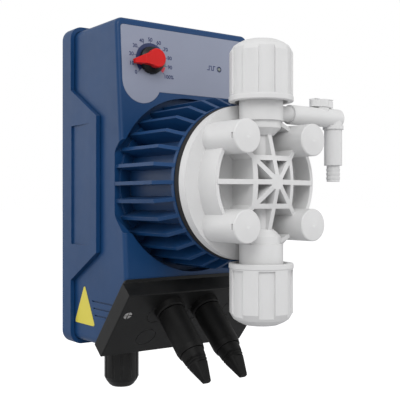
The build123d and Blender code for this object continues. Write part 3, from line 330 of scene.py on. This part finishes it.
def moulded(name, base, *, grain=900, bump=0.12, roughness=0.45, gloss_spread=0.12, cloud=0.86,
            rubbed_and_highlight=0.12, wear_and_highlight=0.5, dust=0.15, soft_edge=0.35, specular=0.5, coat=0.0):
    """Moulded plastic or rubber: clouds, grain, rubbed edges that are also painted edge highlights, and a little
    dust.
    """
    made, tree, shader, place = new_material(name)
    body = use(tree, "moulded surface", {
        "Vector": place, "Colour": rgba(base), "Cloud Colour": rgba(scaled(base, cloud)),
        "Cloud Scale": 22, "Grain Scale": grain, "Roughness": roughness,
        "Roughness Spread": gloss_spread})
    # Outer edges lightened: rubbed wear and a painted edge highlight.
    worn_and_highlit = use(tree, "edge wear and painted highlight", {
        "Vector": place, "Colour": body["Colour"], "Rubbed And Highlight Colour": rgba(lifted(base, rubbed_and_highlight)),
        "Width": 0.6 * MM, "Amount": wear_and_highlight})
    dusty = use(tree, "settled dust", {
        "Vector": place, "Colour": worn_and_highlit["Colour"], "Dust Colour": (0.42, 0.41, 0.39, 1),
        "Amount": dust})
    edges = add(tree, "Bevel", {"Radius": soft_edge * MM}, samples=4)
    relief = add(tree, "Bump", {"Strength": bump, "Distance": 0.05 * MM, "Height": body["Height"],
                                "Normal": edges.outputs["Normal"]})
    tree.links.new(dusty["Colour"], shader.inputs["Base Color"])
    tree.links.new(body["Roughness"], shader.inputs["Roughness"])
    tree.links.new(relief.outputs["Normal"], shader.inputs["Normal"])
    shader.inputs["Specular IOR Level"].default_value = specular
    shader.inputs["Coat Weight"].default_value = coat
    return made


def metal(name, base, *, lines=420, roughness=0.34, bump=0.1, line_shade=0.72, soft_edge=0.2):
    """Plated, drawn or turned metal."""
    made, tree, shader, place = new_material(name)
    body = use(tree, "drawn metal", {
        "Vector": place, "Colour": rgba(base), "Line Colour": rgba(scaled(base, line_shade)),
        "Line Scale": lines, "Roughness": roughness})
    # Outer edges lightened: rubbed metal and a painted edge highlight.
    worn_and_highlit = use(tree, "edge wear and painted highlight", {
        "Vector": place, "Colour": body["Colour"], "Rubbed And Highlight Colour": rgba(lifted(base, 0.35)),
        "Width": 0.4 * MM, "Amount": 0.6})
    edges = add(tree, "Bevel", {"Radius": soft_edge * MM}, samples=4)
    relief = add(tree, "Bump", {"Strength": bump, "Distance": 0.03 * MM, "Height": body["Height"],
                                "Normal": edges.outputs["Normal"]})
    tree.links.new(worn_and_highlit["Colour"], shader.inputs["Base Color"])
    tree.links.new(body["Roughness"], shader.inputs["Roughness"])
    tree.links.new(relief.outputs["Normal"], shader.inputs["Normal"])
    shader.inputs["Metallic"].default_value = 1
    return made


def copper_winding():
    """Enamelled wire, layer beside layer along the coil."""
    made, tree, shader, place = new_material("copper winding")
    along = add(tree, "SeparateXYZ", {"Vector": place})
    turns = maths(tree, "SINE", maths(tree, "MULTIPLY", along.outputs["Y"], 2 * pi / (0.5 * MM)), 0)
    body = use(tree, "drawn metal", {
        "Vector": place, "Colour": (0.62, 0.24, 0.09, 1), "Line Colour": (0.40, 0.13, 0.05, 1),
        "Line Scale": 300, "Roughness": 0.3})
    relief = add(tree, "Bump", {"Strength": 0.8, "Distance": 0.15 * MM, "Height": turns})
    tree.links.new(body["Colour"], shader.inputs["Base Color"])
    tree.links.new(body["Roughness"], shader.inputs["Roughness"])
    tree.links.new(relief.outputs["Normal"], shader.inputs["Normal"])
    shader.inputs["Metallic"].default_value = 0.9
    return made


def board_mask():
    """Solder mask over copper tracks."""
    made, tree, shader, place = new_material("board mask")
    turned = add(tree, "Mapping", {"Vector": place, "Rotation": (pi / 2, 0, 0), "Scale": (240, 240, 240)})
    tracks = add(tree, "TexBrick", {"Vector": turned.outputs["Vector"], "Mortar Size": 0.03,
                                    "Color1": (0.012, 0.12, 0.045, 1),
                                    "Color2": (0.016, 0.15, 0.055, 1),
                                    "Mortar": (0.03, 0.24, 0.09, 1)})
    body = use(tree, "moulded surface", {
        "Vector": place, "Colour": tracks.outputs["Color"], "Cloud Colour": (0.012, 0.10, 0.04, 1),
        "Cloud Scale": 60, "Grain Scale": 1200, "Roughness": 0.32, "Roughness Spread": 0.15})
    relief = add(tree, "Bump", {"Strength": 0.3, "Distance": 0.05 * MM,
                                "Height": tracks.outputs["Fac"]})
    tree.links.new(body["Colour"], shader.inputs["Base Color"])
    tree.links.new(body["Roughness"], shader.inputs["Roughness"])
    tree.links.new(relief.outputs["Normal"], shader.inputs["Normal"])
    return made


def coat_nodes(material, names):
    """Puts a material on CAD nodes."""
    for name in names:
        slots = frame["nodes"][name].data.materials
        slots.clear()
        slots.append(material)


# ---- mesh building ---------------------------------------------------------------------------
def finished(name, work, body, material, place=None):
    """Makes the piece's object from a bmesh, in place, and lets it ride on its body."""
    if place is not None:
        work.transform(place)
    bmesh.ops.remove_doubles(work, verts=work.verts, dist=1e-7)
    bmesh.ops.recalc_face_normals(work, faces=work.faces)
    mesh = bpy.data.meshes.new(name)
    work.to_mesh(mesh)
    work.free()
    mesh.materials.append(material)
    made = bpy.data.objects.new(name, mesh)
    bpy.context.scene.collection.objects.link(made)
    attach(made, body)
    return made


def spun_ring(work, profile, start=0.0, sweep=2 * pi, steps=64):
    """Sweeps a closed (radius, height) profile round Z, whole or part of a turn."""
    verts = [work.verts.new((r * cos(start), r * sin(start), z)) for r, z in profile]
    edges = [work.edges.new((verts[i], verts[(i + 1) % len(verts)])) for i in range(len(verts))]
    whole = abs(sweep - 2 * pi) < 1e-6
    if not whole:
        first = work.faces.new(verts)
        made = bmesh.ops.spin(work, geom=[first], axis=(0, 0, 1), cent=(0, 0, 0), angle=sweep,
                              steps=steps, use_merge=False, use_duplicate=False)
        return made
    return bmesh.ops.spin(work, geom=verts + edges, axis=(0, 0, 1), cent=(0, 0, 0), angle=sweep,
                          steps=steps, use_merge=True, use_duplicate=False)


def bar(work, size, place):
    """Box of a size, set in place."""
    made = bmesh.ops.create_cube(work, size=1)
    bmesh.ops.scale(work, vec=size, verts=made["verts"])
    bmesh.ops.transform(work, matrix=place, verts=made["verts"])
    return made["verts"]


def lettering(work, text, dial, place):
    """Adds a word or number as solid print."""
    curve = bpy.data.curves.new(text, "FONT")
    curve.body = text
    curve.size = dial.number_size
    curve.offset = dial.number_bold
    curve.align_x = "CENTER"
    curve.align_y = "CENTER"
    curve.extrude = dial.ink / 2
    curve.resolution_u = 4
    carrier = bpy.data.objects.new(text, curve)
    bpy.context.scene.collection.objects.link(carrier)
    bpy.context.view_layer.update()
    mesh = bpy.data.meshes.new_from_object(
        carrier.evaluated_get(bpy.context.evaluated_depsgraph_get()))
    mesh.transform(place)
    work.from_mesh(mesh)
    bpy.data.meshes.remove(mesh)
    bpy.data.objects.remove(carrier)
    bpy.data.curves.remove(curve)


# ---- finishes --------------------------------------------------------------------------------
class PUMP_OT_casing_finish(bpy.types.Operator):
    """Blue moulded finish of the shells, the finned dome and the bracket"""

    bl_idname = "pump.casing_finish"
    bl_label = "Casing finish"

    def execute(self, context):
        base = context.scene.pump_finish.casing_blue
        # The lighter rubbed edges here are partly wear and partly a painted edge highlight.
        blue = moulded("casing blue", base, grain=1500, bump=0.22, roughness=0.42, cloud=0.88,
                       rubbed_and_highlight=0.10, wear_and_highlight=0.45, dust=0.06, specular=0.30)
        coat_nodes(blue, ("front_shell", "rear_shell", "wall_bracket"))
        return {"FINISHED"}


class PUMP_OT_panel_finish(bpy.types.Operator):
    """Printed panel, rate knob, pointer and status lamps"""

    bl_idname = "pump.panel_finish"
    bl_label = "Panel finish"

    def execute(self, context):
        tint = context.scene.pump_finish
        coat_nodes(moulded("panel grey", tint.panel_grey, grain=2200, bump=0.08, roughness=0.5,
                           cloud=0.95, rubbed_and_highlight=0.15, wear_and_highlight=0.3, dust=0.05), ("control_panel",))
        coat_nodes(moulded("knob black", tint.knob_black, grain=1300, roughness=0.42, rubbed_and_highlight=0.06,
                           wear_and_highlight=0.6, dust=0.05, specular=0.3), ("rate_knob",))
        coat_nodes(moulded("pointer red", tint.pointer_red, grain=700, bump=0.05, roughness=0.34,
                           cloud=0.9, rubbed_and_highlight=0.10, wear_and_highlight=0.4, dust=0.02, specular=0.2), ("knob_pointer",))
        coat_nodes(moulded("lamp lens", (0.17, 0.20, 0.19), grain=400, bump=0.03, roughness=0.18,
                           cloud=0.8, wear_and_highlight=0.1, dust=0.02, coat=0.6), ("status_leds",))
        coat_nodes(moulded("bobbin nylon", (0.09, 0.09, 0.095), grain=900, roughness=0.45),
                   ("potentiometer", "coil_bobbin"))
        coat_nodes(board_mask(), ("circuit_board",))
        return {"FINISHED"}


class PUMP_OT_terminal_finish(bpy.types.Operator):
    """Black terminal cover, plugs, cable gland, seals and the plain sticker"""

    bl_idname = "pump.terminal_finish"
    bl_label = "Terminal finish"

    def execute(self, context):
        tint = context.scene.pump_finish
        coat_nodes(moulded("cover black", tint.cover_black, grain=1400, bump=0.3, roughness=0.46,
                           rubbed_and_highlight=0.07, wear_and_highlight=0.6, dust=0.04, specular=0.25), ("terminal_cover",))
        sides = [side + piece for side in ("left", "right")
                 for piece in ("_signal_socket", "_plug_sleeve", "_plug_tail")]
        coat_nodes(moulded("plug black", tint.plug_black, grain=1000, bump=0.2, roughness=0.55,
                           rubbed_and_highlight=0.05, wear_and_highlight=0.5, dust=0.02, specular=0.18), sides)
        coat_nodes(moulded("gland black", scaled(tint.cover_black, 0.8), grain=1000,
                           roughness=0.38, rubbed_and_highlight=0.06, wear_and_highlight=0.6, dust=0.03, specular=0.3),
                   ("gland_body", "gland_locknut", "gland_claw", "gland_nut"))
        coat_nodes(moulded("seal rubber", (0.015, 0.015, 0.016), grain=700, bump=0.3,
                           roughness=0.7, rubbed_and_highlight=0.05, dust=0.05, specular=0.3),
                   ("housing_seal", "gland_seal", "discharge_seal", "suction_seal", "end_stop",
                    "backing_ring"))
        coat_nodes(moulded("sticker yellow", tint.sticker_yellow, grain=1800, bump=0.04,
                           roughness=0.4, cloud=0.93, rubbed_and_highlight=0.3, wear_and_highlight=0.4, dust=0.05),
                   ("side_sticker",))
        coat_nodes(moulded("terminal green", (0.03, 0.26, 0.09), grain=900, roughness=0.4),
                   ("terminal_block",))
        return {"FINISHED"}


class PUMP_OT_head_finish(bpy.types.Operator):
    """Natural white plastic of the pump head, the valves and the hose nuts"""

    bl_idname = "pump.head_finish"
    bl_label = "Head finish"

    def execute(self, context):
        base = context.scene.pump_finish.head_white
        white = moulded("head white", base, grain=800, bump=0.10, roughness=0.40, cloud=0.95,
                        rubbed_and_highlight=0.35, wear_and_highlight=0.35, dust=0.04, specular=0.4)
        lines = [line + piece for line in ("discharge", "suction")
                 for piece in ("_valve_body", "_nozzle", "_clamp_ring", "_nut")]
        coat_nodes(white, ["pump_head", "screw_caps", "bleed_body", "bleed_knob", "discharge_seat",
                           "suction_cage"] + lines)
        coat_nodes(moulded("diaphragm white", (0.78, 0.78, 0.76), grain=500, bump=0.06,
                           roughness=0.5, cloud=0.96), ("diaphragm",))
        coat_nodes(moulded("ball ceramic", (0.84, 0.83, 0.78), grain=300, bump=0.02,
                           roughness=0.16, cloud=0.97, wear_and_highlight=0.0, coat=0.4),
                   ("discharge_ball", "suction_ball"))
        return {"FINISHED"}


class PUMP_OT_metal_finish(bpy.types.Operator):
    """Screws, solenoid steel, spring, bush and winding"""

    bl_idname = "pump.metal_finish"
    bl_label = "Metal finish"

    def execute(self, context):
        coat_nodes(metal("screw steel", (0.56, 0.56, 0.57), lines=700),
                   ("housing_screws", "board_screws", "head_screws", "rate_shaft", "push_rod"))
        coat_nodes(metal("cover screw", (0.62, 0.61, 0.60), lines=700, roughness=0.30),
                   ("terminal_cover_screws",))
        coat_nodes(metal("zinc steel", (0.42, 0.42, 0.41), roughness=0.42),
                   ("solenoid_yoke", "yoke_cover", "pole_core", "plunger"))
        coat_nodes(metal("spring steel", (0.5, 0.5, 0.5), roughness=0.22), ("return_spring",))
        coat_nodes(metal("bush bronze", (0.55, 0.35, 0.15), lines=300, roughness=0.4),
                   ("guide_bush",))
        coat_nodes(copper_winding(), ("coil_winding",))
        return {"FINISHED"}


# ---- print on the panel ----------------------------------------------------------------------
LAMP_RADIUS = 1.4 * MM
PULSE_LEAD = 9.6 * MM       # start of the mark, left of the lamp's centre
PULSE_STROKE = 0.5 * MM
PULSE_TALL = 2.6 * MM
PULSE_STEPS = (0.0, 1.6, 3.4, 5.0, 6.4)     # where its level changes, in mm


def ink(name, base):
    """Printed ink, a little thinner here and there."""
    return moulded(name, base, grain=2600, bump=0.05, roughness=0.5, cloud=1.5, wear_and_highlight=0.0,
                   dust=0.0, soft_edge=0.02)


def percent_angle(settings, percent):
    return settings.zero_angle - settings.sweep * percent / 100


class PUMP_OT_dial_scale(bpy.types.Operator):
    """Numbers and ticks round the rate knob"""

    bl_idname = "pump.dial_scale"
    bl_label = "Dial scale"

    def execute(self, context):
        dial = context.scene.pump_dial
        work = bmesh.new()
        for percent in range(0, 101, 10):
            turn = percent_angle(dial, percent)
            out = Vector((cos(turn), sin(turn), 0))
            text = "100%" if percent == 100 else str(percent)
            spot = Vector((out.x * dial.number_aside, out.y * dial.number_above, dial.ink))
            if percent == 100:
                spot += Vector((1.6 * MM, -1.0 * MM, 0))
            lettering(work, text, dial, Matrix.Translation(spot))
            middle = out * (dial.band_outer + dial.tick_length / 2)
            bar(work, (dial.tick_length, 0.32 * MM, dial.ink),
                Matrix.Translation(middle + Vector((0, 0, dial.ink)))
                @ Matrix.Rotation(turn, 4, "Z"))
        navy = ink("print navy", context.scene.pump_finish.print_navy)
        finished("dial_scale", work, "casing", navy, joint_place("rate_turn"))
        return {"FINISHED"}


class PUMP_OT_dial_band(bpy.types.Operator):
    """Printed band round the rate knob: navy, then grey green, and red at the end"""

    bl_idname = "pump.dial_band"
    bl_label = "Dial band"

    def execute(self, context):
        dial = context.scene.pump_dial
        parts = (
            ("dial_band", 0, 66, bpy.data.materials["print navy"]),
            ("dial_band_high", 66.5, 91, ink("print green", (0.10, 0.13, 0.12))),
            ("dial_band_end", 92, 100, ink("print red", (0.52, 0.03, 0.05))),
        )
        for name, start, end, material in parts:
            work = bmesh.new()
            low, high = dial.ink / 2, dial.ink * 1.5
            profile = [(dial.band_inner, low), (dial.band_outer, low), (dial.band_outer, high),
                       (dial.band_inner, high)]
            first = percent_angle(dial, end)
            sweep = percent_angle(dial, start) - first
            spun_ring(work, profile, start=first, sweep=sweep, steps=max(6, int(sweep * 20)))
            finished(name, work, "casing", material, joint_place("rate_turn"))
        return {"FINISHED"}


class PUMP_OT_pulse_mark(bpy.types.Operator):
    """Small square-wave mark beside the pulse lamp"""

    bl_idname = "pump.pulse_mark"
    bl_label = "Pulse mark"

    def execute(self, context):
        dial = context.scene.pump_dial
        place = joint_place("rate_turn")
        lamp_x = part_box("status_leds")[0].x + LAMP_RADIUS
        start = lamp_x - place.translation.x - PULSE_LEAD
        work = bmesh.new()
        for step, level in enumerate((0, 1, 0, 1)):
            a, b = PULSE_STEPS[step], PULSE_STEPS[step + 1]
            middle = (start + (a + b) / 2 * MM, level * PULSE_TALL - PULSE_TALL / 2, dial.ink)
            bar(work, ((b - a) * MM + PULSE_STROKE, PULSE_STROKE, dial.ink),
                Matrix.Translation(middle))
            if step > 0:
                bar(work, (PULSE_STROKE, PULSE_TALL, dial.ink * 0.9),
                    Matrix.Translation((start + a * MM, 0, dial.ink)))
        finished("pulse_mark", work, "casing", bpy.data.materials["print navy"], place)
        return {"FINISHED"}


# ---- small moulded details -------------------------------------------------------------------
TAIL_RADIUS = 5.75 * MM
TAIL_RIB_START = 38.9 * MM  # along the plug, from the sleeve's joint
TAIL_RIB_PITCH = 1.7 * MM


class PUMP_OT_tail_ribs(bpy.types.Operator):
    """Moulded ribs on the cable outlets of the plugs"""

    bl_idname = "pump.tail_ribs"
    bl_label = "Tail ribs"

    def execute(self, context):
        rib = context.scene.pump_detail.tail_rib
        r = TAIL_RADIUS
        for side in ("left", "right"):
            place = joint_place(side + "_sleeve_turn")
            work = bmesh.new()
            for i in range(2):
                z = TAIL_RIB_START + i * TAIL_RIB_PITCH
                profile = [(r - 0.3 * MM, z - rib), (r + 0.5 * rib, z - rib * 0.6),
                           (r + rib, z), (r + 0.5 * rib, z + rib * 0.6), (r - 0.3 * MM, z + rib)]
                spun_ring(work, profile, steps=48)
            finished(side + "_tail_ribs", work, "casing",
                     bpy.data.materials["plug black"], place)
        return {"FINISHED"}


class PUMP_OT_wing_ribs(bpy.types.Operator):
    """Grip ribs on both ends of the bleed wing"""

    bl_idname = "pump.wing_ribs"
    bl_label = "Wing ribs"

    def execute(self, context):
        rib = context.scene.pump_detail.wing_rib
        low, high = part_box("bleed_knob")
        middle = (low + high) / 2
        work = bmesh.new()
        for end in (-1, 1):
            for i in range(3):
                x = middle.x + end * (4.4 + i * 1.3) * MM
                verts = bar(work, (rib, (high.y - low.y) * 0.66, 0.5 * MM),
                            Matrix.Translation((x, middle.y, high.z)))
                edges = [e for e in work.edges if all(v in verts for v in e.verts)]
                bmesh.ops.bevel(work, geom=edges, offset=0.12 * MM, affect="EDGES", segments=2,
                                profile=0.5, material=-1)
        finished("bleed_wing_ribs", work, "bleed_knob",
                 bpy.data.materials["head white"])
        return {"FINISHED"}


class PUMP_OT_nipple_barbs(bpy.types.Operator):
    """Hose barbs on the bleed nipple"""

    bl_idname = "pump.nipple_barbs"
    bl_label = "Nipple barbs"

    def execute(self, context):
        barb = context.scene.pump_detail.nipple_barb
        mount = next(m for m in frame["record"]["mounts"] if m["name"] == "bleed_hose")
        radius = mount["dims"]["r_mm"] * MM
        end = Vector(mount["pos_m"])
        work = bmesh.new()
        for i in range(3):
            z = (1.2 + i * 2.5) * MM
            spun_ring(work, [(radius - 0.2 * MM, z), (radius + 0.3 * barb, z),
                             (radius + barb, z + 1.4 * MM), (radius - 0.2 * MM, z + 1.4 * MM)],
                      steps=40)
        finished("bleed_barbs", work, "casing", bpy.data.materials["head white"],
                 Matrix.Translation(end))
        return {"FINISHED"}


class PUMP_OT_lamp_rims(bpy.types.Operator):
    """Thin printed rims round the status lamps"""

    bl_idname = "pump.lamp_rims"
    bl_label = "Lamp rims"

    def execute(self, context):
        detail = context.scene.pump_detail
        dial = context.scene.pump_dial
        place = joint_place("rate_turn")
        mesh = frame["nodes"]["status_leds"].data
        inverse = place.inverted()
        local = [inverse @ v.co for v in mesh.vertices]
        front = [p for p in local if p.z > -0.2 * MM]
        split = (min(p.x for p in front) + max(p.x for p in front)) / 2
        work = bmesh.new()
        for lamp in ([p for p in front if p.x < split], [p for p in front if p.x >= split]):
            x = (min(p.x for p in lamp) + max(p.x for p in lamp)) / 2
            y = (min(p.y for p in lamp) + max(p.y for p in lamp)) / 2
            r = (max(p.x for p in lamp) - min(p.x for p in lamp)) / 2 + 0.15 * MM
            ring = bmesh.new()
            low, high = dial.ink / 2, dial.ink * 1.5
            spun_ring(ring, [(r, low), (r + detail.lamp_rim, low), (r + detail.lamp_rim, high),
                             (r, high)], steps=40)
            ring.transform(Matrix.Translation((x, y, 0)))
            carrier = bpy.data.meshes.new("rim")
            ring.to_mesh(carrier)
            ring.free()
            work.from_mesh(carrier)
            bpy.data.meshes.remove(carrier)
        finished("lamp_rims", work, "casing", bpy.data.materials["print navy"], place)
        return {"FINISHED"}


# ---- stage -----------------------------------------------------------------------------------
def stage_camera(settings):
    camera = bpy.data.cameras.new("camera")
    camera.lens = settings.lens
    camera.sensor_width = 36
    eye = bpy.data.objects.new("camera", camera)
    eye.location = settings.eye
    eye.rotation_euler = (pi / 2 + settings.pitch, 0, -settings.heading)
    bpy.context.scene.collection.objects.link(eye)
    bpy.context.scene.camera = eye


def area_lamp(name, power, size, place, aim=(0, -0.08, 0)):
    data = bpy.data.lights.new(name, "AREA")
    data.energy = power
    data.size = size
    lamp = bpy.data.objects.new(name, data)
    lamp.location = place
    lamp.rotation_euler = (Vector(aim) - Vector(place)).to_track_quat("-Z", "Y").to_euler()
    bpy.context.scene.collection.objects.link(lamp)


def white_world(ambient):
    world = bpy.data.worlds.new("studio")
    bpy.context.scene.world = world
    world.use_nodes = True
    tree = world.node_tree
    tree.nodes.clear()
    dim = add(tree, "Background", {"Color": (1, 1, 1, 1), "Strength": ambient})
    bright = add(tree, "Background", {"Color": (1, 1, 1, 1), "Strength": 1})
    camera_only = add(tree, "LightPath").outputs["Is Camera Ray"]
    both = add(tree, "MixShader", {"Fac": camera_only})
    tree.links.new(dim.outputs[0], both.inputs[1])
    tree.links.new(bright.outputs[0], both.inputs[2])
    out = add(tree, "OutputWorld")
    tree.links.new(both.outputs[0], out.inputs["Surface"])


def floor_material(base, lift):
    """Pale floor that reads white where it is lit and keeps the pump's shadow."""
    made = bpy.data.materials.new("pale floor")
    made.use_nodes = True
    tree = made.node_tree
    tree.nodes.clear()
    place = add(tree, "TexCoord").outputs["Object"]
    body = use(tree, "moulded surface", {
        "Vector": place, "Colour": rgba(base), "Cloud Colour": rgba(scaled(base, 0.98)),
        "Cloud Scale": 3, "Grain Scale": 400, "Roughness": 0.8, "Roughness Spread": 0.05})
    plain = add(tree, "BsdfDiffuse", {"Color": body["Colour"]})
    dark = add(tree, "Emission", {"Color": (0, 0, 0, 1), "Strength": 0})
    white = add(tree, "Emission", {"Color": (1, 1, 1, 1), "Strength": lift})
    lifted_floor = add(tree, "MixShader", {"Fac": add(tree, "LightPath").outputs["Is Camera Ray"]})
    tree.links.new(dark.outputs[0], lifted_floor.inputs[1])
    tree.links.new(white.outputs[0], lifted_floor.inputs[2])
    both = add(tree, "AddShader")
    tree.links.new(plain.outputs[0], both.inputs[0])
    tree.links.new(lifted_floor.outputs[0], both.inputs[1])
    out = add(tree, "OutputMaterial")
    tree.links.new(both.outputs[0], out.inputs["Surface"])
    return made


class PUMP_OT_stage(bpy.types.Operator):
    """Camera, lamps, white surroundings and the pale floor"""

    bl_idname = "pump.stage"
    bl_label = "Stage"

    def execute(self, context):
        settings = context.scene.pump_stage
        stage_camera(settings)
        white_world(settings.ambient)
        area_lamp("key", 6.6, 0.7, (-0.55, -0.9, 0.75))
        area_lamp("side", 4.0, 1.2, (-0.95, 0.75, 0.15))
        area_lamp("fill", 2.4, 0.9, (0.9, -0.7, 0.1))
        work = bmesh.new()
        bmesh.ops.create_grid(work, x_segments=1, y_segments=1, size=12)
        work.transform(Matrix.Translation((0, 0, CAD_BOX[0][2] - settings.floor_gap)))
        mesh = bpy.data.meshes.new("floor")
        work.to_mesh(mesh)
        work.free()
        mesh.materials.append(floor_material(settings.floor_colour, settings.floor_lift))
        floor = bpy.data.objects.new("floor", mesh)
        context.scene.collection.objects.link(floor)
        context.scene.view_settings.view_transform = "Standard"
        return {"FINISHED"}


STEPS = (PUMP_OT_casing_finish, PUMP_OT_panel_finish, PUMP_OT_terminal_finish,
         PUMP_OT_head_finish, PUMP_OT_metal_finish, PUMP_OT_dial_scale, PUMP_OT_dial_band,
         PUMP_OT_pulse_mark, PUMP_OT_lamp_rims, PUMP_OT_tail_ribs, PUMP_OT_wing_ribs,
         PUMP_OT_nipple_barbs, PUMP_OT_stage)


class PUMP_PT_sidebar(bpy.types.Panel):
    """Lists the pump's settings and steps"""

    bl_idname = "PUMP_PT_sidebar"
    bl_label = "Metering Pump"
    bl_space_type = "VIEW_3D"
    bl_region_type = "UI"
    bl_category = "Metering Pump"

    def draw(self, context):
        for step in STEPS:
            self.layout.operator(step.bl_idname)
        for name in SETTINGS:
            box = self.layout.box()
            settings = getattr(context.scene, name)
            for prop in type(settings).__annotations__:
                box.prop(settings, prop)


SETTINGS = {"pump_finish": FinishSettings, "pump_dial": DialSettings,
            "pump_detail": DetailSettings, "pump_stage": StageSettings}
CLASSES = tuple(SETTINGS.values()) + STEPS + (PUMP_PT_sidebar,)


def register():
    for cls in CLASSES:
        bpy.utils.register_class(cls)
    for name, cls in SETTINGS.items():
        setattr(bpy.types.Scene, name, bpy.props.PointerProperty(type=cls))


def unregister():
    for name in SETTINGS:
        delattr(bpy.types.Scene, name)
    for cls in reversed(CLASSES):
        bpy.utils.unregister_class(cls)


def main():
    register()
    bpy.ops.pump.casing_finish()
    bpy.ops.pump.panel_finish()
    bpy.ops.pump.terminal_finish()
    bpy.ops.pump.head_finish()
    bpy.ops.pump.metal_finish()
    bpy.ops.pump.dial_scale()
    bpy.ops.pump.dial_band()
    bpy.ops.pump.pulse_mark()
    bpy.ops.pump.lamp_rims()
    bpy.ops.pump.tail_ribs()
    bpy.ops.pump.wing_ribs()
    bpy.ops.pump.nipple_barbs()
    bpy.ops.pump.stage()


if __name__ == "__main__":
    main()
